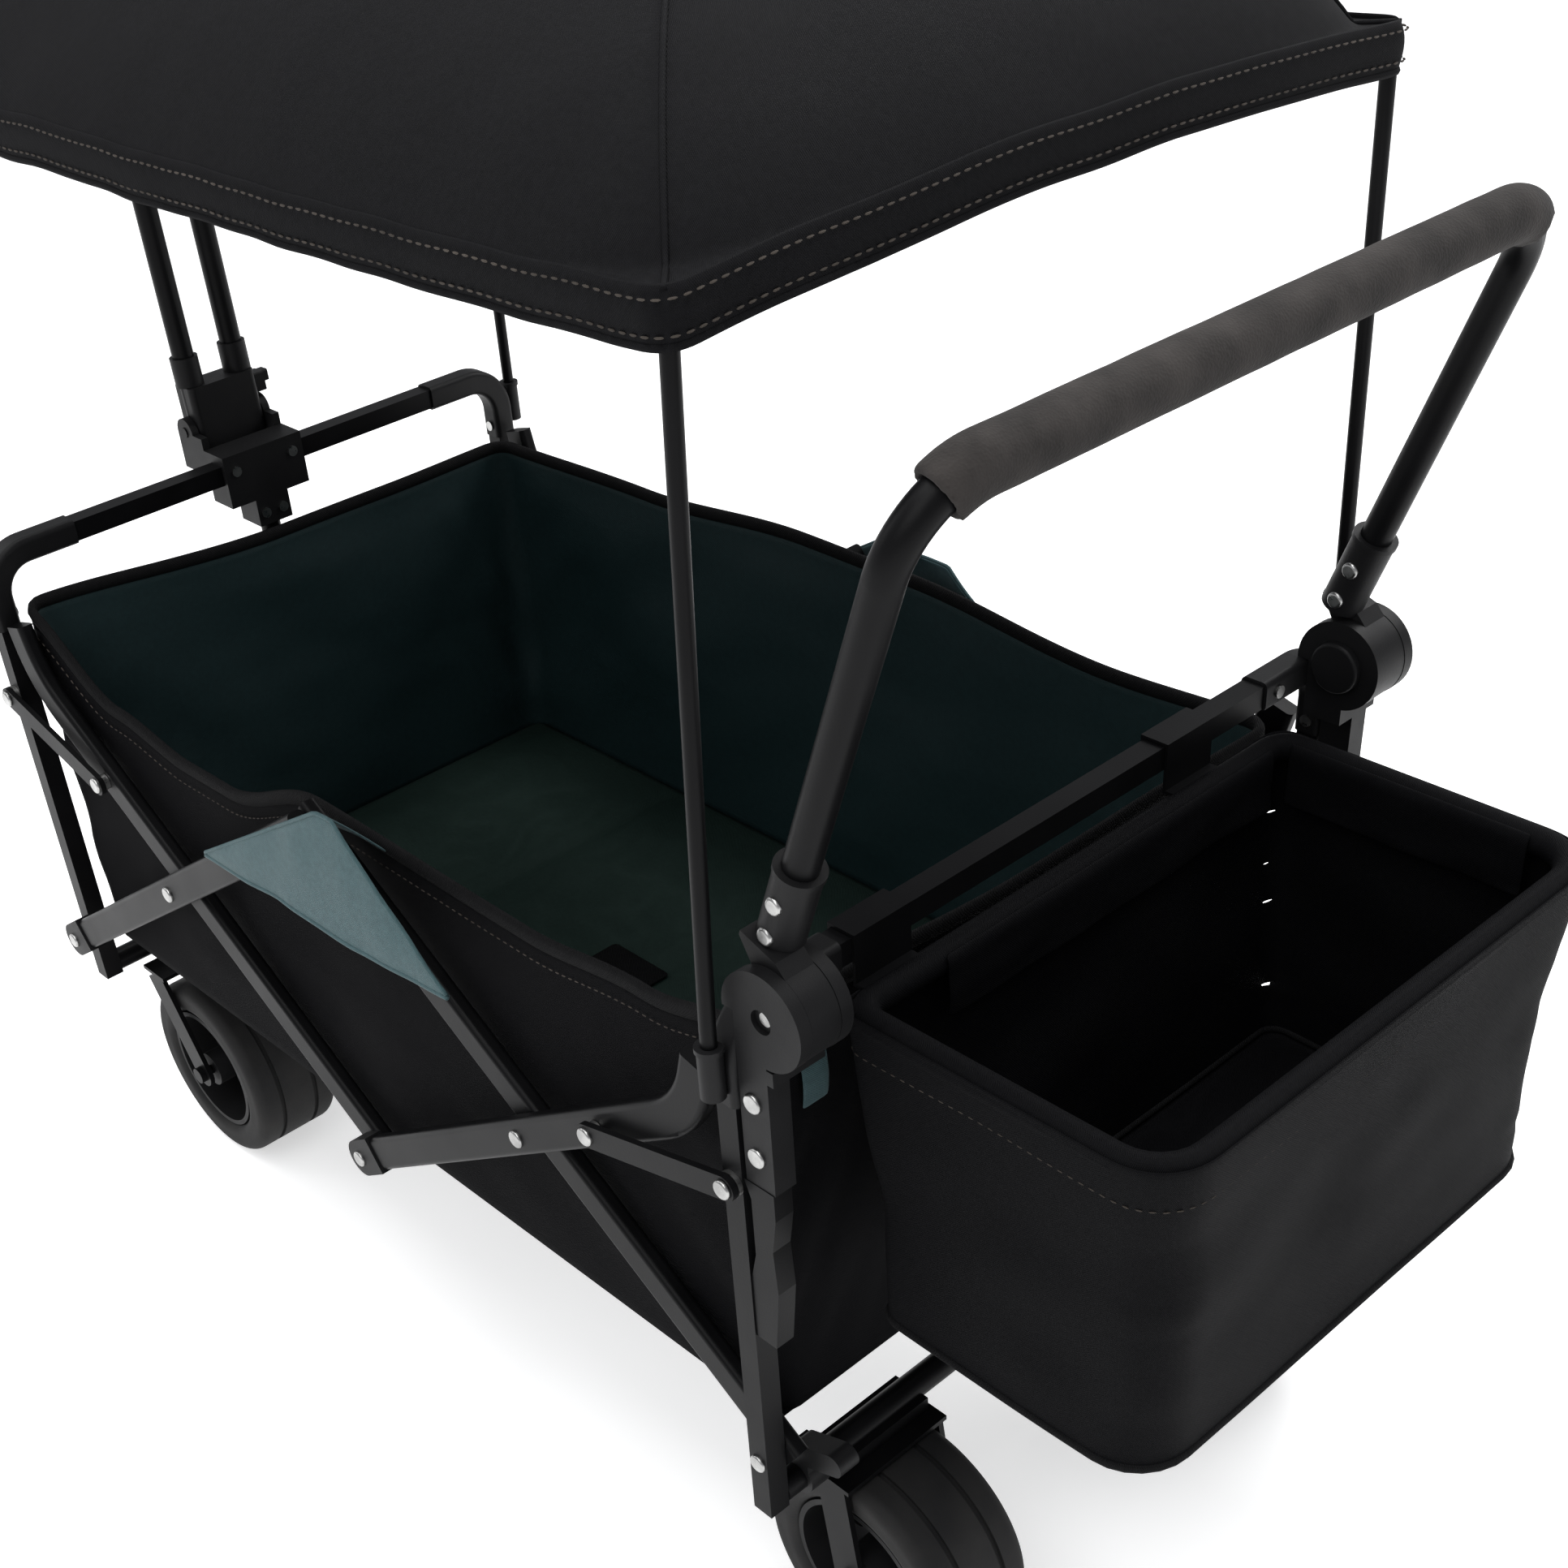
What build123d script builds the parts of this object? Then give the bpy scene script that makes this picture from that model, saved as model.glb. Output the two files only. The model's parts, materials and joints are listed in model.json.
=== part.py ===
from build123d import *
from math import atan2, cos, degrees, hypot, radians, sin
import os

# Folding pull wagon for children, millimetres.
# While it is modelled, X runs from the pull handle (-X) to the push handle (+X) with x = 0
# half way between the posts, Y runs across the wagon and Z is up from the ground.
# The last step moves everything along X so that the origin is under the middle of the box.

# ---------------------------------------------------------------- driving dimensions
POST_PITCH = 820.0        # rear post centre to front post centre
REAR_TRACK = 500.0        # rear post centre to rear post centre, across
POST = 15.0               # square post and rail tube
TUBE_WALL = 1.5
RAIL_Z = 538.0            # centre of both top rails
PIN_Z = 211.0             # lower pins of the scissors
TOP_PIN_Z = 477.0         # upper middle pin of the scissors
BAR_WIDTH = 25.0
BAR_THICK = 12.0
BAR_STEP = 14.0           # outer bar plane to inner bar plane
RUN_GAP = 0.3             # between flat faces that pass each other
RIVET_R = 4.0
RIVET_FIT = 0.08          # radial clearance of a rivet in its bar
HEAD_R = 6.0
HEAD_T = 2.2
LINK_WIDTH = 16.0
LINK_THICK = 4.0
LINK_SPACER = 3.3         # washer between a link and its post
LINK_RIVET_U = 102.8      # link rivet, from the crossing rivet along the bar
FOLDED_PITCH = 218.0      # post pitch when the wagon is folded
BEND_R = 75.0             # bend at the upper end of an upper bar
BEND_ANGLE = 42.0
UPPER_BAR_GAP = 26.0      # end of an upper bar to the middle of its post
ELBOW_REACH = 70.0        # post centre to the inner end of a rail elbow
ELBOW_SHELL = 2.0
CROSS_BAR_R = 9.0
CROSS_BAR_Z = 176.0
WHEEL_R = 80.0
WHEEL_WIDTH = 76.0
WHEEL_Y = 167.0           # middle of each wheel
RIM_R = 54.0
AXLE_R = 4.0
CASTER_TRAIL = 44.0
CASTER_SET_BACK = 25.0    # swivel axis behind the front posts
STEM_R = 6.0
BRAKE_Y = 220.25
BRAKE_WIDTH = 15.5
REAR_AXLE_SET_BACK = 22.0
FORK_T = 4.0
TUB_HALF_X = 396.0
TUB_HALF_Y = 225.5
TUB_BOTTOM = 213.0
TUB_TOP = 500.0
TUB_SKIN = 3.0
TIE_LOW = 440.0           # corner ties that hold the tub to the posts
TIE_TOP = 484.0
MAT_T = 5.0
KNUCKLE_X = 30.0          # push handle pivot behind the rear posts
KNUCKLE_Z = 550.0
KNUCKLE_R = 28.0
KNUCKLE_T = 36.0
CHEEK_T = 8.0             # fixed cheek of a knuckle
NECK_R = 19.0             # turning disc between the cheeks, where it passes the elbow
DRUM_SECTOR = (-50, 110)  # turning disc at its full radius, degrees from the handle legs
KNUCKLE_Y = 238.0
BUTTON_R = 16.0
BUTTON_RISE = 5.0
BUTTON_WELL = 6.0
HANDLE_Y = 231.5          # middle of each handle leg
HANDLE_LEAN = 20.2        # degrees back from upright
HANDLE_SET = -20.0        # handle legs in front of the pivot, across the lean
HANDLE_LENGTH = 292.4     # pivot to the middle of the grip
HANDLE_TUBE_R = 9.5
HANDLE_BEND_R = 42.0
GRIP_R = 14.4
SOCKET_R = 12.7
SOCKET_TOP = 79.0
SOCKET_RIVETS = (37, 59)  # heights above the pivot
SPOT_FACE = 0.9
BASKET_IN_X = 16.0        # rear post centre to the inner edge of the basket rim
BASKET_OUT_X = 226.0
BASKET_HALF_Y = 188.0
BASKET_RIM_Z = 511.0
BASKET_ROD = 9.0
BASKET_BOTTOM = 300.0
BASKET_TAPER_IN = 20.0
BASKET_TAPER = 6.0
BASKET_SKIN = 3.0
HOOK_Y = (-150.0, 106.0)
HOOK_WIDTH = 42.0
HOOK_T = 2.0
POLE_R = 4.5
SLEEVE_R = 7.0
SLEEVE_HEIGHT = 32.0
SLEEVE_Z = 494.0
HEM_Z = 869.0
CANOPY_SKIN = 2.5
PULL_X = 39.0             # pull handle in front of the front posts
PULL_Y = 21.5
PULL_LEAN = 2.9
PULL_TUBE_R = 8.5
PULL_INNER_R = 6.6
PULL_PIVOT_Z = 562.0
PULL_LENGTH = 290.0       # pivot to the middle of the pull grip

# ---------------------------------------------------------------- worked-out places
REAR_X = POST_PITCH / 2
FRONT_X = -POST_PITCH / 2
OUTER_Y = REAR_TRACK / 2
INNER_Y = OUTER_Y - BAR_STEP
BAR_RISE = TOP_PIN_Z - PIN_Z
BAR_LENGTH = hypot(REAR_X, BAR_RISE)
HALF_BAR = BAR_LENGTH / 2
BAR_ANGLE = degrees(atan2(REAR_X, BAR_RISE))
CROSS_X = REAR_X / 2
CROSS_Z = (PIN_Z + TOP_PIN_Z) / 2
HANDLE_PIVOT_X = REAR_X + KNUCKLE_X
OUTER_FACE = OUTER_Y + BAR_THICK / 2
REAR_POST_FACE = OUTER_Y + POST / 2
FRONT_POST_FACE = INNER_Y + POST / 2
REAR_SLEEVE_Y = REAR_POST_FACE + ELBOW_SHELL + POLE_R + 1.1
FRONT_SLEEVE_Y = FRONT_POST_FACE + ELBOW_SHELL + POLE_R + 1.1
POLE_TOP_Y = FRONT_SLEEVE_Y
REAR_AXLE_X = REAR_X + REAR_AXLE_SET_BACK
SWIVEL_X = FRONT_X + CASTER_SET_BACK
FRONT_AXLE_X = SWIVEL_X + CASTER_TRAIL
PULL_PIVOT_X = FRONT_X - PULL_X
CROWN_Z = WHEEL_R * 2 + 2.5
CROWN_TOP = CROWN_Z + 3.0
POST_BOTTOM = CROSS_BAR_Z - CROSS_BAR_R


def link_pivot_rise():
    """Height of a link's post pivot above the lower pin that suits both ends of the fold."""
    short, long = HALF_BAR - LINK_RIVET_U, HALF_BAR + LINK_RIVET_U
    open_a = radians(BAR_ANGLE)
    shut_a = atan2(FOLDED_PITCH / 2, (BAR_LENGTH**2 - (FOLDED_PITCH / 2) ** 2) ** 0.5)
    x0, z0 = short * sin(open_a), long * cos(open_a)
    x1, z1 = short * sin(shut_a), long * cos(shut_a)
    return (x1**2 + z1**2 - x0**2 - z0**2) / (2 * (z1 - z0))


LINK_PIVOT_Z = PIN_Z + link_pivot_rise()
LINK_RIVET_X = (HALF_BAR - LINK_RIVET_U) * sin(radians(BAR_ANGLE))
LINK_RIVET_Z = PIN_Z + (HALF_BAR + LINK_RIVET_U) * cos(radians(BAR_ANGLE))

nodes = {}


def both_sides(shape):
    """A piece of the near side (-Y) and its mirror image on the far side."""
    return [shape, mirror(shape, about=Plane.XZ)]


def block(x0, x1, y0, y1, z0, z1):
    return Pos((x0 + x1) / 2, (y0 + y1) / 2, (z0 + z1) / 2) * Box(abs(x1 - x0), abs(y1 - y0), abs(z1 - z0))


def rod_y(x, z, y0, y1, r):
    """Round bar along Y."""
    return Pos(x, (y0 + y1) / 2, z) * Rot(90, 0, 0) * Cylinder(r, abs(y1 - y0))


def rod_z(x, y, z0, z1, r):
    return Pos(x, y, (z0 + z1) / 2) * Cylinder(r, z1 - z0)


def head(x, z, y, out, r=HEAD_R, t=HEAD_T):
    """Domed rivet head whose flat side is at y; out is -1 or 1, the side it stands on."""
    dome = Cylinder(r, t, align=(Align.CENTER, Align.CENTER, Align.MIN))
    dome = fillet(dome.edges().group_by(Axis.Z)[-1], t * 0.7)
    return Pos(x, y, z) * Rot(90 if out < 0 else -90, 0, 0) * dome


def rivet(x, z, y_in, y_out, r=RIVET_R):
    """Rivet of the near side, from its inner end to the domed head outside, at y_out < y_in."""
    shank = rod_y(x, z, y_in, y_out, r)
    return shank + head(x, z, y_out, -1) + rod_y(x, z, y_in, y_in + 1.2, r + 1.5)


def pin_hole(x, z, y, r=RIVET_R + RIVET_FIT, depth=60.0):
    return rod_y(x, z, y - depth / 2, y + depth / 2, r)


def bar_along(path, y):
    """Flat-oval scissor bar swept along a path in the XZ plane at the given y."""
    start = path @ 0
    section = Plane(origin=start, x_dir=(0, 1, 0), z_dir=path % 0) * RectangleRounded(
        BAR_THICK, BAR_WIDTH, 4.0
    )
    return Pos(0, y, 0) * sweep(section, path)


def bar_path(x0, z0, x1, z1, extra0, extra1):
    """Straight path between two pins, run past them by extra0 and extra1."""
    d = hypot(x1 - x0, z1 - z0)
    ux, uz = (x1 - x0) / d, (z1 - z0) / d
    return Line((x0 - ux * extra0, 0, z0 - uz * extra0), (x1 + ux * extra1, 0, z1 + uz * extra1))


# ---------------------------------------------------------------- end frames
def post(x, y):
    """Square tube post from the lower cross bar to its rail elbow, with pin and link holes."""
    top = RAIL_Z - POST / 2 - ELBOW_REACH * 0.35
    outer = block(x - POST / 2, x + POST / 2, y - POST / 2, y + POST / 2, POST_BOTTOM, top)
    bore = POST / 2 - TUBE_WALL
    tube = outer - block(x - bore, x + bore, y - bore, y + bore, POST_BOTTOM + TUBE_WALL, top)
    tube -= pin_hole(x, PIN_Z, y)
    return tube - pin_hole(x, LINK_PIVOT_Z, y)


def top_rail(x, half):
    """Square rail tube between the two elbows."""
    inset = ELBOW_REACH - 22.0
    y = half - inset
    outer = block(x - POST / 2, x + POST / 2, -y, y, RAIL_Z - POST / 2, RAIL_Z + POST / 2)
    bore = POST / 2 - TUBE_WALL
    return outer - block(x - bore, x + bore, -y, y, RAIL_Z - bore, RAIL_Z + bore)


def elbow(x, y):
    """Moulded corner: a bent square sleeve from the rail round to the post, near side."""
    side = POST + 2 * ELBOW_SHELL
    bend = 30.0
    path = elbow_path(x, y, bend)
    section = Plane(origin=path @ 0, x_dir=(1, 0, 0), z_dir=path % 0) * RectangleRounded(side, side, 4.0)
    body = sweep(section, path)
    hole = POST / 2
    rail_end = y + ELBOW_REACH - 22.0
    body -= block(x - hole, x + hole, rail_end, y + ELBOW_REACH, RAIL_Z - hole, RAIL_Z + hole)
    post_top = RAIL_Z - POST / 2 - ELBOW_REACH * 0.35
    body -= block(x - hole, x + hole, y - hole, y + hole, RAIL_Z - ELBOW_REACH, post_top)
    return body


def elbow_path(x, y, bend):
    a = Line((x, y + ELBOW_REACH, RAIL_Z), (x, y + bend, RAIL_Z))
    k = bend * (1 - cos(radians(45)))
    arc = ThreePointArc((x, y + bend, RAIL_Z), (x, y + k, RAIL_Z - k), (x, y, RAIL_Z - bend))
    b = Line((x, y, RAIL_Z - bend), (x, y, RAIL_Z - ELBOW_REACH * 0.75))
    return Wire([a.edge(), arc.edge(), b.edge()])


def cross_bar(x, half):
    """Round lower bar between the posts' inner faces."""
    y = half - POST / 2
    return rod_y(x, CROSS_BAR_Z, -y, y, CROSS_BAR_R) - rod_y(x, CROSS_BAR_Z, -y, y, CROSS_BAR_R - TUBE_WALL)


def end_frame_rivets(x, y):
    """Elbow rivets of one post, near side."""
    side = POST / 2 + ELBOW_SHELL
    low = RAIL_Z - ELBOW_REACH * 0.62
    return [
        Pos(x, -y + side, low) * Rot(-90, 0, 0) * Cylinder(4.0, 1.6, align=(Align.CENTER, Align.CENTER, Align.MIN)),
        Pos(x + (side if x > 0 else -side), -y + ELBOW_REACH - 12, RAIL_Z)
        * Rot(0, 90 if x > 0 else -90, 0)
        * Cylinder(4.0, 1.6, align=(Align.CENTER, Align.CENTER, Align.MIN)),
    ]


def pole_sleeve(x, y, face):
    """Round socket for a canopy pole, flat where it sits on the elbow's outer face, near side."""
    top = SLEEVE_Z + SLEEVE_HEIGHT
    tube = rod_z(x, -y, SLEEVE_Z, top, SLEEVE_R) + rod_z(x, -y, top - 3, top, SLEEVE_R + 1)
    tube -= block(x - 20, x + 20, -face, -face + 20, SLEEVE_Z, top)
    return tube - rod_z(x, -y, SLEEVE_Z + 4, top, POLE_R + RIVET_FIT)


# ---------------------------------------------------------------- scissors
def upper_bar(sign, y):
    """Bar from the lower middle pin that bends towards upright beside its post. sign 1 is the rear."""
    a0 = radians(BAR_ANGLE)
    a1 = radians(BAR_ANGLE - BEND_ANGLE)
    run = REAR_X - UPPER_BAR_GAP - BEND_R * (cos(a1) - cos(a0)) - 14.0 * sin(a1)
    straight = run / sin(a0)
    x1, z1 = straight * sin(a0), PIN_Z + straight * cos(a0)
    middle = (a0 + a1) / 2

    def on_arc(a):
        return (sign * (x1 + BEND_R * (cos(a) - cos(a0))), 0, z1 + BEND_R * (sin(a0) - sin(a)))

    tip = on_arc(a1)
    end = (tip[0] + sign * 14.0 * sin(a1), 0, tip[2] + 14.0 * cos(a1))
    start = (-sign * 10 * sin(a0), 0, PIN_Z - 10 * cos(a0))
    path = Wire(
        [
            Line(start, on_arc(a0)).edge(),
            ThreePointArc(on_arc(a0), on_arc(middle), tip).edge(),
            Line(tip, end).edge(),
        ]
    )
    bar = bar_along(path, y)
    bar -= pin_hole(0, PIN_Z, y, RIVET_R + 4 * RIVET_FIT)
    return bar - pin_hole(sign * CROSS_X, CROSS_Z, y)


def lower_bar(sign, y):
    """Straight bar from the foot of a post to the upper middle pin."""
    bar = bar_along(bar_path(sign * REAR_X, PIN_Z, 0, TOP_PIN_Z, 11, 11), y)
    for x, z in ((sign * REAR_X, PIN_Z), (0, TOP_PIN_Z), (sign * CROSS_X, CROSS_Z)):
        bar -= pin_hole(x, z, y)
    return bar


def end_cap(x, z, bar, angle):
    """Plastic cap over a bar's lower end, outside and round its tip, near side."""
    y_in = -(OUTER_Y - BAR_THICK / 2)
    y_out = -(OUTER_FACE + 1.6)
    half = BAR_WIDTH / 2 + 1.5
    shell = rod_y(x, z, y_in, y_out, half)
    along = Pos(0, (y_in + y_out) / 2, 12) * Box(2 * half, y_in - y_out, 24)
    shell += Pos(x, 0, z) * Rot(0, angle, 0) * along
    shell -= bar
    shell -= pin_hole(x, z, y_in)
    return shell.solids().sort_by(SortBy.VOLUME)[-1]


def link_bar(sign, y):
    """Short strap from a post pivot to an upper bar, near side; y is its middle plane."""
    x0, z0 = sign * REAR_X, LINK_PIVOT_Z
    x1, z1 = sign * (REAR_X - LINK_RIVET_X), LINK_RIVET_Z
    length = hypot(x1 - x0, z1 - z0)
    tilt = degrees(atan2(z1 - z0, x1 - x0))
    strap = extrude(SlotCenterToCenter(length, LINK_WIDTH), LINK_THICK / 2, both=True)
    strap = Pos((x0 + x1) / 2, y, (z0 + z1) / 2) * Rot(0, -tilt, 0) * Rot(90, 0, 0) * strap
    return strap - pin_hole(x0, z0, y) - pin_hole(x1, z1, y)


def link_post_rivet(x, y, link_y):
    """Rivet through a post, its spacer washer and a link, near side."""
    inner, face = y - POST / 2, y + POST / 2
    outer = link_y + LINK_THICK / 2 + RUN_GAP
    spacer = rod_y(x, LINK_PIVOT_Z, -face, -(face + LINK_SPACER - RUN_GAP), HEAD_R + 2)
    return rivet(x, LINK_PIVOT_Z, -inner, -outer) + spacer


# ---------------------------------------------------------------- wheels
def tyre(x, y):
    """Wide tyre with round shoulders and two shallow grooves."""
    half = WHEEL_WIDTH / 2
    section = Pos((WHEEL_R + RIM_R) / 2, 0, 0) * RectangleRounded(WHEEL_R - RIM_R, WHEEL_WIDTH, 9.0)
    ring = revolve(Plane.XZ * section, Axis.Z)
    for groove in (-half * 0.42, half * 0.42):
        ring -= Pos(0, 0, groove) * (Cylinder(WHEEL_R + 1, 4) - Cylinder(WHEEL_R - 2.5, 4))
    return Pos(x, y, WHEEL_R) * Rot(90, 0, 0) * ring


def hub(x, y):
    """Dished wheel centre: rim barrel, thin web with six lightening holes and a bored boss."""
    half = WHEEL_WIDTH / 2 - 3
    barrel = Cylinder(RIM_R, 2 * half) - Cylinder(RIM_R - 4, 2 * half)
    body = barrel + Cylinder(RIM_R - 2, 7) + Cylinder(15, 2 * half + 1)
    for turn in range(6):
        body -= Rot(0, 0, 60 * turn) * Pos((RIM_R + 11) / 2, 0, 0) * Cylinder(8, 10)
    body -= Cylinder(AXLE_R + RIVET_FIT, WHEEL_WIDTH + 2)
    return Pos(x, y, WHEEL_R) * Rot(90, 0, 0) * body


def fork(x_top, x_axle, y):
    """Two-legged fork with its axle; the crown is centred on x_top."""
    leg_y = WHEEL_WIDTH / 2 + 2.0
    tilt = degrees(atan2(x_axle - x_top, CROWN_Z - WHEEL_R))
    height = hypot(x_axle - x_top, CROWN_Z - WHEEL_R)
    legs = []
    for side in (-1, 1):
        leg = Box(24, FORK_T, height) + Pos(0, 0, -height / 2) * Rot(90, 0, 0) * Cylinder(12, FORK_T)
        leg = Rot(0, -tilt, 0) * leg
        legs.append(Pos((x_top + x_axle) / 2, y + side * (leg_y + FORK_T / 2), (CROWN_Z + WHEEL_R) / 2) * leg)
    wide = leg_y + FORK_T
    crown = block(x_top - 16, x_top + 16, y - wide, y + wide, CROWN_Z - 0.5, CROWN_TOP)
    above = block(x_top - 60, x_top + 60, y - wide - 1, y + wide + 1, CROWN_TOP, CROWN_TOP + 40)
    body = (crown + legs[0] + legs[1]) - above
    body += rod_y(x_axle, WHEEL_R, y - wide, y + wide, AXLE_R)
    body += rod_y(x_axle, WHEEL_R, y - wide - 5, y - wide, 7) + rod_y(x_axle, WHEEL_R, y + wide, y + wide + 5, 7)
    return body


def caster_fork(y):
    body = fork(SWIVEL_X, FRONT_AXLE_X, y)
    top = CROSS_BAR_Z + CROSS_BAR_R + 5
    return body + rod_z(SWIVEL_X, y, CROWN_TOP, top, STEM_R) + rod_z(SWIVEL_X, y, top, top + 2.5, STEM_R + 3)


def rear_fork():
    """Fixed rear fork with a saddle on the lower cross bar, near side."""
    body = fork(REAR_AXLE_X - 12, REAR_AXLE_X, -WHEEL_Y)
    saddle = block(REAR_X - 14, REAR_X + 14, -WHEEL_Y - 40, -WHEEL_Y + 40, CROWN_TOP - 3, CROSS_BAR_Z)
    return body + (saddle - rod_y(REAR_X, CROSS_BAR_Z, -WHEEL_Y - 50, -WHEEL_Y + 50, CROSS_BAR_R))


def stem_socket(y):
    """Swivel housing welded behind the front cross bar."""
    low, high = CROWN_TOP + RUN_GAP, CROSS_BAR_Z + CROSS_BAR_R + 5 - RUN_GAP
    body = rod_z(SWIVEL_X, y, low, high, 13)
    body += block(FRONT_X, SWIVEL_X, y - 10, y + 10, low, CROSS_BAR_Z + 6)
    body -= rod_y(FRONT_X, CROSS_BAR_Z, y - 20, y + 20, CROSS_BAR_R)
    return body - rod_z(SWIVEL_X, y, low - 1, high + 1, STEM_R + RIVET_FIT)


def brake_pedal(y):
    """Foot lever over a rear wheel, pivoting on the lower cross bar, near side."""
    x, z, half = REAR_X, CROSS_BAR_Z, BRAKE_WIDTH / 2
    ring = rod_y(x, z, y - half, y + half, CROSS_BAR_R + 4)
    arm = extrude(SlotCenterToCenter(30, 16), half, both=True)
    arm = Pos(x + 17, y, z + 26) * Rot(0, -22, 0) * Rot(90, 0, 0) * arm
    neck = block(x - 6, x + 10, y - half, y + half, z + 6, z + 24)
    return (ring + arm + neck) - rod_y(x, z, y - half - 1, y + half + 1, CROSS_BAR_R + RIVET_FIT)


# ---------------------------------------------------------------- push handle
def handle_place(shape):
    """From the handle's own frame (pivot at 0, legs up Z) to its lean on the knuckles."""
    return Pos(HANDLE_PIVOT_X, 0, KNUCKLE_Z) * Rot(0, HANDLE_LEAN, 0) * shape


def handle_bend(side, turn):
    """Arc of a handle corner from the leg, through turn degrees."""
    cy, cz = side * (HANDLE_Y - HANDLE_BEND_R), HANDLE_LENGTH - HANDLE_BEND_R

    def at(a):
        return (HANDLE_SET, cy + side * HANDLE_BEND_R * cos(radians(a)), cz + HANDLE_BEND_R * sin(radians(a)))

    return at, ThreePointArc(at(90 - turn), at(90 - turn / 2), at(90)).edge()


def handle_tube():
    start = 34.0
    x, cy, cz = HANDLE_SET, HANDLE_Y - HANDLE_BEND_R, HANDLE_LENGTH - HANDLE_BEND_R
    edges = [Line((x, -HANDLE_Y, start), (x, -HANDLE_Y, cz)).edge(), handle_bend(-1, 90)[1]]
    edges.append(Line((x, -cy, HANDLE_LENGTH), (x, cy, HANDLE_LENGTH)).edge())
    edges += [handle_bend(1, 90)[1], Line((x, HANDLE_Y, cz), (x, HANDLE_Y, start)).edge()]
    path = Wire(edges)
    section = Plane(origin=(x, -HANDLE_Y, start), z_dir=(0, 0, 1)) * (
        Circle(HANDLE_TUBE_R) - Circle(HANDLE_TUBE_R - TUBE_WALL)
    )
    return handle_place(sweep(section, path))


def handle_grip():
    """Foam sleeve over the cross-piece and the start of each bend."""
    turn = 34.0
    at, near = handle_bend(-1, turn)
    x, cy = HANDLE_SET, HANDLE_Y - HANDLE_BEND_R
    path = Wire([near, Line((x, -cy, HANDLE_LENGTH), (x, cy, HANDLE_LENGTH)).edge(), handle_bend(1, turn)[1]])
    a = radians(90 - turn)
    tangent = (0, sin(a), cos(a))
    section = Plane(origin=at(90 - turn), x_dir=(1, 0, 0), z_dir=tangent) * (
        Circle(GRIP_R) - Circle(HANDLE_TUBE_R)
    )
    return handle_place(sweep(section, path))


def sector(r, y0, y1):
    """Pie of a turning disc over DRUM_SECTOR, about the pivot in the handle's own frame."""
    low, high = (radians(a) for a in DRUM_SECTOR)
    reach = 3 * r
    corners = [(0, 0)] + [(reach * sin(a), reach * cos(a)) for a in (low, (low + high) / 2, high)]
    pie = extrude(make_face(Plane.XZ * Polyline(*corners, close=True)), (y1 - y0) / 2, both=True)
    return rod_y(0, 0, y0, y1, r) & Pos(0, (y0 + y1) / 2, 0) * pie


def handle_socket():
    """Turning disc of a knuckle with the offset socket that takes a handle leg, near side."""
    x, y, half = HANDLE_SET, -KNUCKLE_Y, KNUCKLE_T / 2 - CHEEK_T - RUN_GAP
    low = KNUCKLE_R + 1
    edge = [(12, 0), (16, 20), (x + SOCKET_R, low + 3), (x - SOCKET_R, low + 3), (x - SOCKET_R, low), (-14, 13), (-14, 0)]
    neck = Pos(0, y, 0) * extrude(make_face(Plane.XZ * Polyline(*edge, close=True)), half, both=True)
    disc = rod_y(0, 0, y - half, y + half, NECK_R) + sector(KNUCKLE_R - RUN_GAP, y - half, y + half)
    socket = rod_z(x, -HANDLE_Y, low, SOCKET_TOP, SOCKET_R) + rod_z(x, -HANDLE_Y, SOCKET_TOP - 3, SOCKET_TOP, SOCKET_R + 0.8)
    body = disc + neck + socket - rod_z(x, -HANDLE_Y, 34, SOCKET_TOP + 2, HANDLE_TUBE_R)
    for s in SOCKET_RIVETS:
        for out in (-1, 1):
            face = -HANDLE_Y + out * (SOCKET_R - SPOT_FACE)
            body -= rod_y(x, s, min(face, face + 3 * out), max(face, face + 3 * out), 5.0)
    return handle_place(body - rod_y(0, 0, y - 30, y + 30, RIVET_R + RIVET_FIT))


def knuckle_housing():
    """Fixed cheeks of a knuckle, their bridge and the leg that takes the stand-off, near side."""
    x, z, y = HANDLE_PIVOT_X, KNUCKLE_Z, -KNUCKLE_Y
    half, cheek = KNUCKLE_T / 2, CHEEK_T
    outer = rod_y(x, z, y - half, y - half + cheek, KNUCKLE_R)
    inner = rod_y(x, z, y + half - cheek, y + half, KNUCKLE_R)
    elbow_face = POST / 2 + ELBOW_SHELL + RUN_GAP
    leg_x0, leg_x1 = REAR_X + elbow_face, REAR_X + POST / 2 + 24
    leg = block(leg_x0, leg_x1, y - half, y - half + 15, z - 112, z - KNUCKLE_R - 1)
    drop = block(leg_x0, leg_x1, y - half, y - half + cheek, z - KNUCKLE_R - 4, z)
    drop_in = block(leg_x0, x + 6, y + half - cheek, y + half, z - KNUCKLE_R - 10, z)
    bridge = block(leg_x0, x + 6, y - half, y + half, z - KNUCKLE_R - 10, z - KNUCKLE_R - 1)
    body = outer + inner + leg + drop + drop_in + bridge
    body -= block(x - 60, leg_x0, y - half - 1, y + half + 1, z - 120, RAIL_Z + elbow_face)
    body -= stand_off_core()
    body -= rod_y(x, z, y - half - 1, y - half + 3, 7)
    body -= rod_y(x, z, y - half, y + half, RIVET_R + RIVET_FIT)
    return body - rod_y(x, z, y + half - BUTTON_WELL, y + half + 1, BUTTON_R + RIVET_FIT)


def stand_off_core():
    """Upper end of a stand-off, inside the knuckle's leg, near side."""
    x0 = REAR_X + POST / 2 + 3
    return block(x0, x0 + 18, -(OUTER_Y + 5), -(OUTER_Y - 5), KNUCKLE_Z - 112, KNUCKLE_Z - KNUCKLE_R - 12)


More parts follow.
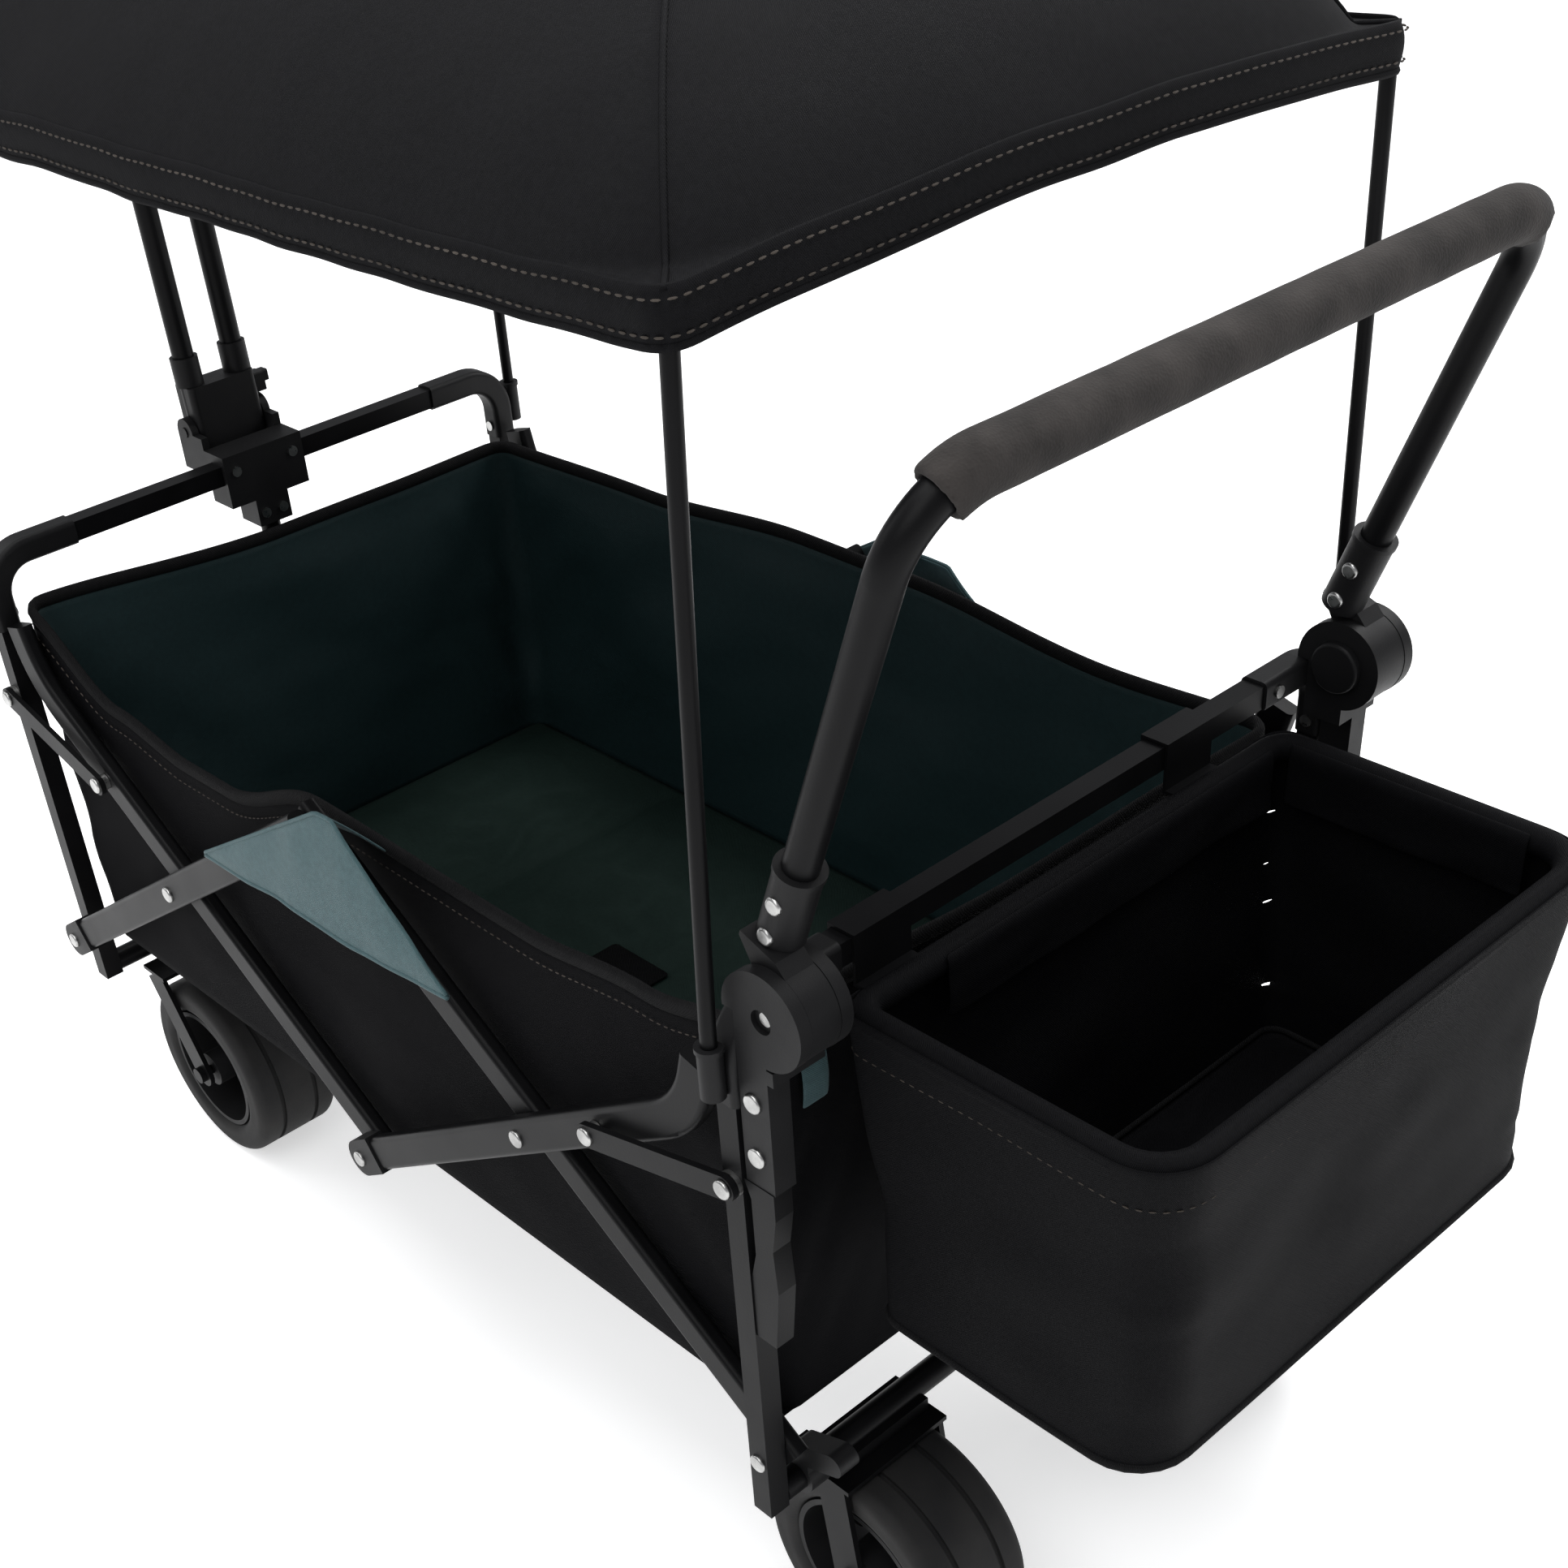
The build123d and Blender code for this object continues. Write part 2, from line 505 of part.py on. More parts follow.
def stand_off():
    """Pressed tube behind a rear post: out at the knuckle, a gap, then back in to the post."""
    face = REAR_X + POST / 2
    low, top = 322.0, KNUCKLE_Z - 112
    edge = [
        (face, low), (face, 366), (face + 5, 386), (face + 5, top - 12), (face + 1, top - 2), (face + 1, top),
        (face + 23, top), (face + 23, 420), (face + 19, 396), (face + 21, 366), (face + 16, low),
    ]
    outline = make_face(Plane.XZ * Polyline(*[(x, z) for x, z in edge], close=True))
    plate = extrude(outline, 6.5, both=True)
    plate = Pos(0, -OUTER_Y, 0) * plate
    return plate + stand_off_core()


def knuckle_button():
    y_in = -(KNUCKLE_Y - KNUCKLE_T / 2)
    cap = rod_y(HANDLE_PIVOT_X, KNUCKLE_Z, y_in - 0.2, y_in + BUTTON_RISE, BUTTON_R)
    return fillet(cap.edges().filter_by(GeomType.CIRCLE).sort_by(Axis.Y)[-1], 2.0)


# ---------------------------------------------------------------- basket
def basket_rim_path(inset=0.0):
    x0, x1 = REAR_X + BASKET_IN_X + inset, REAR_X + BASKET_OUT_X - inset
    return x0, x1, BASKET_HALF_Y - inset


def basket_frame():
    """Square-section rim loop, rounder at its two outer corners."""
    x0, x1, y1 = basket_rim_path()
    mid = (x0 + x1) / 2
    outer = Pos(mid, 0) * Rectangle(x1 - x0, 2 * y1)
    hole = Pos(mid, 0) * Rectangle(x1 - x0 - 2 * BASKET_ROD, 2 * y1 - 2 * BASKET_ROD)
    outer = fillet(outer.vertices().group_by(Axis.X)[-1], 34)
    outer = fillet(outer.vertices().group_by(Axis.X)[0], 8)
    hole = fillet(hole.vertices().group_by(Axis.X)[-1], 34 - BASKET_ROD)
    ring = extrude(outer - hole, BASKET_ROD / 2, both=True)
    return Pos(0, 0, BASKET_RIM_Z) * ring


def basket_hook(y):
    """Bent strap from the basket rim over the rear rail."""
    rail_top = RAIL_Z + POST / 2 + RUN_GAP
    front, back = REAR_X - POST / 2 - RUN_GAP, REAR_X + POST / 2 + RUN_GAP
    rim_in = REAR_X + BASKET_IN_X
    rim_top = BASKET_RIM_Z + BASKET_ROD / 2
    half = HOOK_WIDTH / 2
    over = block(front - HOOK_T, back + HOOK_T, y - half, y + half, rail_top, rail_top + HOOK_T)
    lip = block(front - HOOK_T, front, y - half, y + half, RAIL_Z - POST / 2, rail_top + HOOK_T)
    down = block(back, back + HOOK_T, y - half, y + half, rim_top, rail_top + HOOK_T)
    foot = block(back, rim_in + BASKET_ROD, y - half, y + half, rim_top, rim_top + HOOK_T)
    return over + lip + down + foot


def basket_bag():
    """Open bag below the rim, tapering a little to its floor."""
    x0, x1, y1 = basket_rim_path(-3.0)
    top = BASKET_RIM_Z - BASKET_ROD / 2 - RUN_GAP

    def level(grow, z, taper_in, taper):
        a, b, c = x0 + taper_in - grow, x1 - taper + grow, y1 - taper + grow
        face = Rectangle(b - a, 2 * c)
        face = fillet(face.vertices().group_by(Axis.X)[-1], 34)
        return Pos((a + b) / 2, 0, z) * face

    skin = BASKET_SKIN
    outside = loft([level(0, BASKET_BOTTOM, BASKET_TAPER_IN, BASKET_TAPER), level(0, top, 0, 0)])
    inside = loft(
        [level(-skin, BASKET_BOTTOM + skin, BASKET_TAPER_IN, BASKET_TAPER), level(-skin, top + 1, 0, 0)]
    )
    return outside - inside


# ---------------------------------------------------------------- tub
def tub():
    """Fabric tub: four walls and a floor, dipping between the posts, with corner ties to the posts."""
    outside = block(-TUB_HALF_X, TUB_HALF_X, -TUB_HALF_Y, TUB_HALF_Y, TUB_BOTTOM, TUB_TOP)
    s = TUB_SKIN
    body = outside - block(
        -TUB_HALF_X + s, TUB_HALF_X - s, -TUB_HALF_Y + s, TUB_HALF_Y - s, TUB_BOTTOM + s, TUB_TOP + 1
    )
    for x0, x1, dip in ((-TUB_HALF_X + 30, -15, 48), (15, TUB_HALF_X - 30, 20)):
        arc = ThreePointArc((x0, TUB_TOP), ((x0 + x1) / 2, TUB_TOP - dip), (x1, TUB_TOP))
        sag = make_face(Plane.XZ * (arc + Line((x1, TUB_TOP), (x0, TUB_TOP))))
        body -= extrude(sag, 2 * TUB_HALF_Y, both=True)
    for end, face in ((1, OUTER_Y - POST / 2), (-1, INNER_Y - POST / 2)):
        x0, x1 = end * (TUB_HALF_X - 12), end * (REAR_X + 6)
        for side in (-1, 1):
            body += block(
                min(x0, x1), max(x0, x1), side * (TUB_HALF_Y - 1), side * (face - RUN_GAP), TIE_LOW, TIE_TOP
            )
    return body


def floor_mat():
    """Padded mat in four panels that hinge on their seams, drawn as one board with grooves."""
    z = TUB_BOTTOM + TUB_SKIN
    half_x, half_y = TUB_HALF_X - TUB_SKIN - 1, TUB_HALF_Y - TUB_SKIN - 1
    mat = block(-half_x, half_x, -half_y, half_y, z, z + MAT_T)
    for k in (-1, 0, 1):
        mat -= Pos(k * half_x / 2, 0, z + MAT_T) * Box(3, 2 * half_y, 3)
    return mat


def side_pocket():
    """Fabric pocket over the upper middle joint of the scissors, near side."""
    y = -(OUTER_FACE + HEAD_T + 1.2)
    edge = [(-116, 417), (48, 515), (66, 516), (162, 433), (64, 425), (-20, 426)]
    flap = extrude(make_face(Plane.XZ * Polyline(*edge, close=True)), 0.9, both=True)
    flap = Pos(0, y, 0) * flap
    fold = block(30, 66, y, -TUB_HALF_Y, TUB_TOP - 14, TUB_TOP - 12)
    return flap + fold


# ---------------------------------------------------------------- pull handle
def pull_place(shape):
    """From the pull handle's own frame (pivot at 0, tubes up Z) to its lean on the bracket."""
    return Pos(PULL_PIVOT_X, 0, PULL_PIVOT_Z) * Rot(0, -PULL_LEAN, 0) * shape


def pull_bracket():
    """Plastic clamp round the middle of the front rail, with two ears for the handle yoke."""
    half_y = 36.0
    rail = POST / 2
    back = FRONT_X + rail + 4
    clamp = block(FRONT_X - rail - 8, back, -half_y, half_y, RAIL_Z - 26, RAIL_Z + 15)
    clamp -= block(FRONT_X - rail, FRONT_X + rail, -half_y, half_y, RAIL_Z - rail, RAIL_Z + rail)
    tang = block(FRONT_X - rail - 8, back, -15, 15, RAIL_Z - 48, RAIL_Z - 26)
    body = clamp + tang
    for side in (-1, 1):
        ear = block(
            PULL_PIVOT_X - 11, FRONT_X - rail - 8, side * 30, side * half_y, PULL_PIVOT_Z - 30, PULL_PIVOT_Z
        )
        body += ear + rod_y(PULL_PIVOT_X, PULL_PIVOT_Z, side * 30, side * half_y, 11)
    body -= rod_z(FRONT_X, 0, RAIL_Z - 60, RAIL_Z - 14, 8)
    return body - rod_y(PULL_PIVOT_X, PULL_PIVOT_Z, -50, 50, RIVET_R + RIVET_FIT)


def pull_yoke():
    """Block between the ears that carries both tubes, with its pivot pin."""
    half = 30.0 - RUN_GAP
    block_low, block_top = -18.0, 34.0
    body = Pos(0, 0, (block_low + block_top) / 2) * Box(26, 2 * half, block_top - block_low)
    body = fillet(body.edges().filter_by(Axis.Z), 5)
    for side in (-1, 1):
        body += rod_z(0, side * PULL_Y, block_top, block_top + 22, PULL_TUBE_R + 2.5)
        body -= rod_z(0, side * PULL_Y, 6, block_top + 24, PULL_TUBE_R)
    body += rod_y(0, 0, -37, 37, RIVET_R)
    return pull_place(body)


def pull_outer_tubes():
    tubes = []
    for side in (-1, 1):
        tube = rod_z(0, side * PULL_Y, 6, PULL_LENGTH - 60, PULL_TUBE_R)
        tubes.append(pull_place(tube - rod_z(0, side * PULL_Y, 6, PULL_LENGTH - 60, PULL_INNER_R + 0.1)))
    return tubes


def pull_inner_rods():
    return [pull_place(rod_z(0, side * PULL_Y, 40, PULL_LENGTH - 24, PULL_INNER_R)) for side in (-1, 1)]


def pull_grip():
    """Closed plastic hand loop on the inner tubes."""
    low, top = PULL_LENGTH - 34, PULL_LENGTH + 18
    loop = Pos(0, 0, (low + top) / 2) * Box(26, 112, top - low)
    loop = fillet(loop.edges().filter_by(Axis.X), 18)
    hole = Pos(0, 0, (low + top) / 2 + 1) * Box(40, 84, top - low - 26)
    loop -= fillet(hole.edges().filter_by(Axis.X), 11)
    for side in (-1, 1):
        loop += rod_z(0, side * PULL_Y, low - 14, low, PULL_INNER_R + 3)
        loop -= rod_z(0, side * PULL_Y, low - 14, low + 10, PULL_INNER_R)
    return pull_place(loop)


def pull_latch():
    """Thumb tab on the yoke's far side that frees the handle."""
    y0 = 30.0 - RUN_GAP
    tab = block(-7, 7, y0 + RUN_GAP, y0 + 10, 13, 28) + block(-5, 5, y0 + 8, y0 + 15, 19, 28)
    return pull_place(fillet(tab.edges().filter_by(Axis.Y), 1.5))


# ---------------------------------------------------------------- canopy
def stack(levels):
    """Straight-sided solid through a pile of outlines."""
    body = None
    for low, high in zip(levels, levels[1:]):
        slab = loft([low, high], ruled=True)
        body = slab if body is None else body + slab
    return body


def canopy():
    """Roof with sloping sides and a hem, open below."""
    x1 = REAR_X + POLE_R + RUN_GAP + CANOPY_SKIN
    y1 = POLE_TOP_Y + POLE_R + RUN_GAP + CANOPY_SKIN
    s = CANOPY_SKIN

    def level(z, in_x, in_y, cut):
        return Pos(0, 0, z) * RectangleRounded(2 * (x1 - in_x), 2 * (y1 - in_y), cut)

    heights = ((HEM_Z, 0, 0, 5), (HEM_Z + 14, 0, 0, 5), (HEM_Z + 74, 50, 48, 22), (HEM_Z + 106, 150, 130, 30))
    outside = stack([level(*h) for h in heights])
    lowered = [(HEM_Z - 0.01, s, s, 3)]
    lowered += [(z - (0 if k == 0 else s), x + s, y + s, cut - 2) for k, (z, x, y, cut) in enumerate(heights[1:])]
    inside = stack([level(*h) for h in lowered])
    return outside - inside


def canopy_pole(x, y):
    """Pole, upright in its sleeve and leaning in above it where its top is nearer the middle."""
    low, bend, top = SLEEVE_Z + 4 + RUN_GAP, SLEEVE_Z + SLEEVE_HEIGHT + 4, HEM_Z + 11
    if y == POLE_TOP_Y:
        return rod_z(x, -y, low, top, POLE_R)
    lean = atan2(y - POLE_TOP_Y + 2 * RUN_GAP, top - bend)
    r = 240.0
    points = [(x, -y + r * (1 - cos(a)), bend + r * sin(a)) for a in (0, lean / 2, lean)]
    end = (x, points[2][1] + (top - points[2][2]) * sin(lean) / cos(lean), top)
    edges = [Line((x, -y, low), points[0]).edge(), ThreePointArc(*points).edge(), Line(points[2], end).edge()]
    return sweep(Plane(origin=(x, -y, low)) * Circle(POLE_R), Wire(edges))


# ---------------------------------------------------------------- assembly
def build():
    for name, x, y in (("rear", REAR_X, OUTER_Y), ("front", FRONT_X, INNER_Y)):
        nodes[name + "_posts"] = both_sides(post(x, -y))
        nodes[name + "_top_rail"] = [top_rail(x, y)]
        nodes[name + "_elbows"] = both_sides(elbow(x, -y))
    nodes["rear_cross_bar"] = [cross_bar(REAR_X, OUTER_Y)]
    centre_post = rod_z(FRONT_X, 0, CROSS_BAR_Z, RAIL_Z - 14, 8) - rod_z(
        FRONT_X, 0, CROSS_BAR_Z + 10, RAIL_Z - 15.5, 8 - TUBE_WALL
    )
    front_bar = cross_bar(FRONT_X, INNER_Y) + (centre_post - rod_y(FRONT_X, CROSS_BAR_Z, -20, 20, CROSS_BAR_R))
    nodes["front_cross_bar"] = [front_bar + stem_socket(-WHEEL_Y) + stem_socket(WHEEL_Y)]
    nodes["handle_supports"] = both_sides(stand_off())
    nodes["knuckle_housings"] = both_sides(knuckle_housing())
    nodes["rear_pole_sleeves"] = both_sides(pole_sleeve(REAR_X, REAR_SLEEVE_Y, REAR_POST_FACE + ELBOW_SHELL))
    nodes["front_pole_sleeves"] = both_sides(pole_sleeve(FRONT_X, FRONT_SLEEVE_Y, FRONT_POST_FACE + ELBOW_SHELL))
    nodes["tub"] = [tub()]
    nodes["floor_mat"] = [floor_mat()]
    nodes["side_pockets"] = both_sides(side_pocket())

    link_rear_y = REAR_POST_FACE + LINK_SPACER + LINK_THICK / 2
    link_front_y = FRONT_POST_FACE + LINK_SPACER + LINK_THICK / 2
    rear_rivets = [rivet(REAR_X, PIN_Z, -(INNER_Y - BAR_THICK / 2 - RUN_GAP), -REAR_POST_FACE)]
    rear_rivets.append(link_post_rivet(REAR_X, OUTER_Y, link_rear_y))
    rear_rivets += end_frame_rivets(REAR_X, OUTER_Y)
    face = KNUCKLE_Y + KNUCKLE_T / 2
    for z in (KNUCKLE_Z - 56, KNUCKLE_Z - 92):
        rear_rivets.append(head(REAR_X + POST / 2 + 12, z, -face, -1, 6.0, 2.0))
    rear_rivets.append(rod_y(HANDLE_PIVOT_X, KNUCKLE_Z, -(face - 3), -(KNUCKLE_Y - KNUCKLE_T / 2 + BUTTON_WELL + 0.5), RIVET_R))
    nodes["rear_rivets"] = [piece for one in rear_rivets for piece in both_sides(one)]
    front_rivets = [link_post_rivet(FRONT_X, INNER_Y, link_front_y)]
    front_rivets += end_frame_rivets(FRONT_X, INNER_Y)
    clamp_face = FRONT_X + POST / 2 + 4
    for y, z in ((-26, RAIL_Z + 2), (-8, RAIL_Z - 38)):
        front_rivets.append(
            Pos(clamp_face, y, z) * Rot(0, 90, 0) * Cylinder(4, 1.6, align=(Align.CENTER, Align.CENTER, Align.MIN))
        )
    nodes["front_rivets"] = [piece for one in front_rivets for piece in both_sides(one)]

    front_lower = lower_bar(-1, -OUTER_Y)
    rear_upper = upper_bar(1, -OUTER_Y)
    nodes["front_lower_bars"] = both_sides(front_lower)
    nodes["rear_lower_bars"] = both_sides(lower_bar(1, -INNER_Y))
    nodes["rear_upper_bars"] = both_sides(rear_upper)
    nodes["front_upper_bars"] = both_sides(upper_bar(-1, -INNER_Y))
    nodes["front_lower_bar_caps"] = both_sides(end_cap(FRONT_X, PIN_Z, front_lower, BAR_ANGLE))
    nodes["rear_upper_bar_caps"] = both_sides(end_cap(0, PIN_Z, rear_upper, BAR_ANGLE))
    inner_end = -(INNER_Y - BAR_THICK / 2 - RUN_GAP)
    cap_face = -(OUTER_FACE + 1.6)
    front_bar_rivets = [
        rivet(FRONT_X, PIN_Z, -(INNER_Y - POST / 2 - RUN_GAP), cap_face),
        rivet(0, TOP_PIN_Z, inner_end, -OUTER_FACE),
        rivet(-CROSS_X, CROSS_Z, inner_end, -OUTER_FACE),
    ]
    nodes["front_bar_rivets"] = [piece for one in front_bar_rivets for piece in both_sides(one)]
    rear_bar_rivets = [rivet(0, PIN_Z, inner_end, cap_face), rivet(CROSS_X, CROSS_Z, inner_end, -OUTER_FACE)]
    nodes["rear_bar_rivets"] = [piece for one in rear_bar_rivets for piece in both_sides(one)]
    nodes["rear_links"] = both_sides(link_bar(1, -link_rear_y))
    nodes["front_links"] = both_sides(link_bar(-1, -link_front_y))
    for name, sign, y in (("rear", 1, link_rear_y), ("front", -1, link_front_y)):
        x = sign * (REAR_X - LINK_RIVET_X)
        bar_face = (OUTER_Y if sign > 0 else INNER_Y) + BAR_THICK / 2 + RUN_GAP
        stud = rod_y(x, LINK_RIVET_Z, -(y - LINK_THICK / 2), -(y + LINK_THICK / 2), RIVET_R + RIVET_FIT)
        stud += rod_y(x, LINK_RIVET_Z, -bar_face, -(y - LINK_THICK / 2), HEAD_R)
        nodes[name + "_link_rivets"] = both_sides(stud + head(x, LINK_RIVET_Z, -(y + LINK_THICK / 2), -1))

    nodes["rear_wheel_forks"] = both_sides(rear_fork())
    for side, y in (("left", -WHEEL_Y), ("right", WHEEL_Y)):
        nodes["rear_" + side + "_tyre"] = [tyre(REAR_AXLE_X, y)]
        nodes["rear_" + side + "_hub"] = [hub(REAR_AXLE_X, y)]
        nodes[side + "_brake_pedal"] = [brake_pedal(BRAKE_Y if y > 0 else -BRAKE_Y)]
        nodes[side + "_caster_fork"] = [caster_fork(y)]
        nodes["front_" + side + "_tyre"] = [tyre(FRONT_AXLE_X, y)]
        nodes["front_" + side + "_hub"] = [hub(FRONT_AXLE_X, y)]

    nodes["push_handle_tube"] = [handle_tube()]
    nodes["push_handle_grip"] = [handle_grip()]
    nodes["handle_sockets"] = both_sides(handle_socket())
    handle_rivets = []
    for s in SOCKET_RIVETS:
        for out in (-1, 1):
            handle_rivets += both_sides(head(HANDLE_SET, s, -HANDLE_Y + out * (SOCKET_R - SPOT_FACE), out, 5.0, 2.4))
    nodes["handle_rivets"] = [handle_place(stud) for stud in handle_rivets]
    button = knuckle_button()
    nodes["left_knuckle_button"], nodes["right_knuckle_button"] = [[piece] for piece in both_sides(button)]
    nodes["basket_frame"] = [basket_frame()]
    nodes["basket_hooks"] = [basket_hook(y) for y in HOOK_Y]
    nodes["basket_bag"] = [basket_bag()]

    nodes["pull_bracket"] = [pull_bracket()]
    nodes["pull_handle_yoke"] = [pull_yoke()]
    nodes["pull_outer_tubes"] = pull_outer_tubes()
    nodes["pull_inner_rods"] = pull_inner_rods()
    nodes["pull_handle_grip"] = [pull_grip()]
    nodes["pull_latch"] = [pull_latch()]
    nodes["rear_canopy_poles"] = both_sides(canopy_pole(REAR_X, REAR_SLEEVE_Y))
    nodes["front_canopy_poles"] = both_sides(canopy_pole(FRONT_X, FRONT_SLEEVE_Y))
    nodes["canopy_fabric"] = [canopy()]


build()
boxes = [Compound(children=[Compound(p.solids()) for p in pieces]).bounding_box() for pieces in nodes.values()]
ORIGIN_X = (min(b.min.X for b in boxes) + max(b.max.X for b in boxes)) / 2
os.makedirs("parts", exist_ok=True)
for name, pieces in nodes.items():
    solids = [Pos(-ORIGIN_X, 0, 0) * solid for piece in pieces for solid in piece.solids()]
    export_step(Compound(solids) if len(solids) > 1 else solids[0], f"parts/{name}.step")
print("origin is at x =", round(ORIGIN_X, 3))
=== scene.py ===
import json
import math
import random

import bmesh
import bpy
from mathutils import Matrix, Vector, noise

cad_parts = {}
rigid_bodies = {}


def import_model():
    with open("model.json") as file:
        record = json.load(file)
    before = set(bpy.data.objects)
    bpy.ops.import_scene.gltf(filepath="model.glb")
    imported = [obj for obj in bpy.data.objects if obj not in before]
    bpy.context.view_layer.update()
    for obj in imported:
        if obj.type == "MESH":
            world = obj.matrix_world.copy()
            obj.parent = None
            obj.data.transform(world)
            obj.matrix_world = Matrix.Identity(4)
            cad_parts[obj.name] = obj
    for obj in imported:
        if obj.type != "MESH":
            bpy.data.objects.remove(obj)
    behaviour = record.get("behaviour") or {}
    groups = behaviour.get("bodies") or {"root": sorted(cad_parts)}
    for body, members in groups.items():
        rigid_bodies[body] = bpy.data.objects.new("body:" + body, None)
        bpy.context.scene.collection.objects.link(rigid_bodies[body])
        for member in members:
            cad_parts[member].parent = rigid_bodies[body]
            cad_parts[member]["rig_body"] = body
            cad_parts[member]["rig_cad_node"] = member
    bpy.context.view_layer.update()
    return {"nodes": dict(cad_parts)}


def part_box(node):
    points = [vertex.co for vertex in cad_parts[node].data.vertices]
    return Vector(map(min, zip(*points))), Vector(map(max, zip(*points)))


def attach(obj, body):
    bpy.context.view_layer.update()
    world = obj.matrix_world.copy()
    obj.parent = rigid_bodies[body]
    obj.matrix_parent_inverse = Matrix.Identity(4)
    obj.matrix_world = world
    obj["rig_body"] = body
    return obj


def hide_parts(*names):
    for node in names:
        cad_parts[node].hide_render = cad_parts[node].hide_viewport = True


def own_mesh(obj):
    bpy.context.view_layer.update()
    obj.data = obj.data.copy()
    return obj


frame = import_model()
random.seed(7)

# ------------------------------------------------------------------ places, taken from the CAD nodes, except the tub's half width HALF_Y, which is given
REAR_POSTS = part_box("rear_posts")
FRONT_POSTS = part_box("front_posts")
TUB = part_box("tub")
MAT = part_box("floor_mat")
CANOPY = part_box("canopy_fabric")
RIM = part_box("basket_frame")
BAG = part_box("basket_bag")
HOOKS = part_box("basket_hooks")
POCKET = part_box("side_pockets")
REAR_X = (REAR_POSTS[0].x + REAR_POSTS[1].x) / 2
FRONT_X = (FRONT_POSTS[0].x + FRONT_POSTS[1].x) / 2
MID_X = (REAR_X + FRONT_X) / 2
HALF_X = (REAR_X - FRONT_X) / 2 - 0.014
HALF_Y = 0.2255
TUB_LOW = TUB[0].z


# ------------------------------------------------------------------ materials
def new_material(name, color, rough, metallic=0.0, **sockets):
    mat = bpy.data.materials.new(name)
    mat.use_nodes = True
    tree = mat.node_tree
    bsdf = tree.nodes["Principled BSDF"]
    bsdf.inputs["Base Color"].default_value = (*color, 1)
    bsdf.inputs["Roughness"].default_value = rough
    bsdf.inputs["Metallic"].default_value = metallic
    for key, value in sockets.items():
        bsdf.inputs[key.replace("_", " ")].default_value = value
    return mat, tree, bsdf


def add(tree, kind, **values):
    node = tree.nodes.new(kind)
    for key, value in values.items():
        if key in node.inputs:
            node.inputs[key].default_value = value
        else:
            setattr(node, key, value)
    return node


def noise_of(tree, coords, scale, detail=3.0):
    node = add(tree, "ShaderNodeTexNoise", Scale=scale, Detail=detail)
    tree.links.new(coords, node.inputs["Vector"])
    return node.outputs["Fac"]


def vary_color(tree, bsdf, factor, dark, light):
    ramp = tree.nodes.new("ShaderNodeValToRGB")
    ramp.color_ramp.elements[0].position = 0.35
    ramp.color_ramp.elements[1].position = 0.68
    ramp.color_ramp.elements[0].color = (*dark, 1)
    ramp.color_ramp.elements[1].color = (*light, 1)
    tree.links.new(factor, ramp.inputs["Fac"])
    tree.links.new(ramp.outputs["Color"], bsdf.inputs["Base Color"])
    return ramp


def vary_rough(tree, bsdf, factor, low, high):
    span = add(tree, "ShaderNodeMapRange")
    span.inputs["To Min"].default_value = low
    span.inputs["To Max"].default_value = high
    tree.links.new(factor, span.inputs["Value"])
    tree.links.new(span.outputs["Result"], bsdf.inputs["Roughness"])


def bump(tree, bsdf, height, strength, distance, before=None):
    node = add(tree, "ShaderNodeBump", Strength=strength, Distance=distance)
    tree.links.new(height, node.inputs["Height"])
    if before is not None:
        tree.links.new(before.outputs["Normal"], node.inputs["Normal"])
    tree.links.new(node.outputs["Normal"], bsdf.inputs["Normal"])
    return node


def object_coords(tree):
    return add(tree, "ShaderNodeTexCoord").outputs["Object"]


def coated_steel(name, color, rough):
    """Powder-coated tube: a faint orange peel and slightly uneven gloss."""
    mat, tree, bsdf = new_material(name, color, rough, Specular_IOR_Level=0.10)
    at = object_coords(tree)
    cloud = noise_of(tree, at, 22, 4)
    vary_rough(tree, bsdf, cloud, rough - 0.06, rough + 0.1)
    vary_color(tree, bsdf, cloud, [c * 0.85 for c in color], [c * 1.25 for c in color])
    bump(tree, bsdf, noise_of(tree, at, 900, 2), 0.12, 0.0004)
    return mat


def moulded(name, color, rough, grain=1400, strength=0.2):
    """Moulded plastic with a fine spark-eroded grain."""
    mat, tree, bsdf = new_material(name, color, rough, Specular_IOR_Level=0.16)
    at = object_coords(tree)
    cloud = noise_of(tree, at, 14, 3)
    vary_color(tree, bsdf, cloud, [c * 0.8 for c in color], [c * 1.3 for c in color])
    vary_rough(tree, bsdf, noise_of(tree, at, 60, 3), rough - 0.08, rough + 0.08)
    bump(tree, bsdf, noise_of(tree, at, grain, 3), strength, 0.0005)
    return mat


def plated(name):
    """Zinc-plated rivet with fine scratches."""
    mat, tree, bsdf = new_material(name, (0.42, 0.42, 0.41), 0.3, 1.0)
    at = object_coords(tree)
    vary_rough(tree, bsdf, noise_of(tree, at, 240, 5), 0.18, 0.42)
    vary_color(tree, bsdf, noise_of(tree, at, 90, 3), (0.32, 0.32, 0.315), (0.5, 0.5, 0.49))
    return mat


def foam(name):
    """Closed-cell foam: fine pores and a soft, dusty surface."""
    mat, tree, bsdf = new_material(
        name, (0.03, 0.027, 0.025), 0.92, Sheen_Weight=0.04, Specular_IOR_Level=0.2)
    at = object_coords(tree)
    vary_color(tree, bsdf, noise_of(tree, at, 40, 5), (0.019, 0.017, 0.016), (0.036, 0.032, 0.030))
    cells = add(tree, "ShaderNodeTexVoronoi", Scale=700.0)
    tree.links.new(at, cells.inputs["Vector"])
    bump(tree, bsdf, cells.outputs["Distance"], 0.35, 0.0006)
    return mat


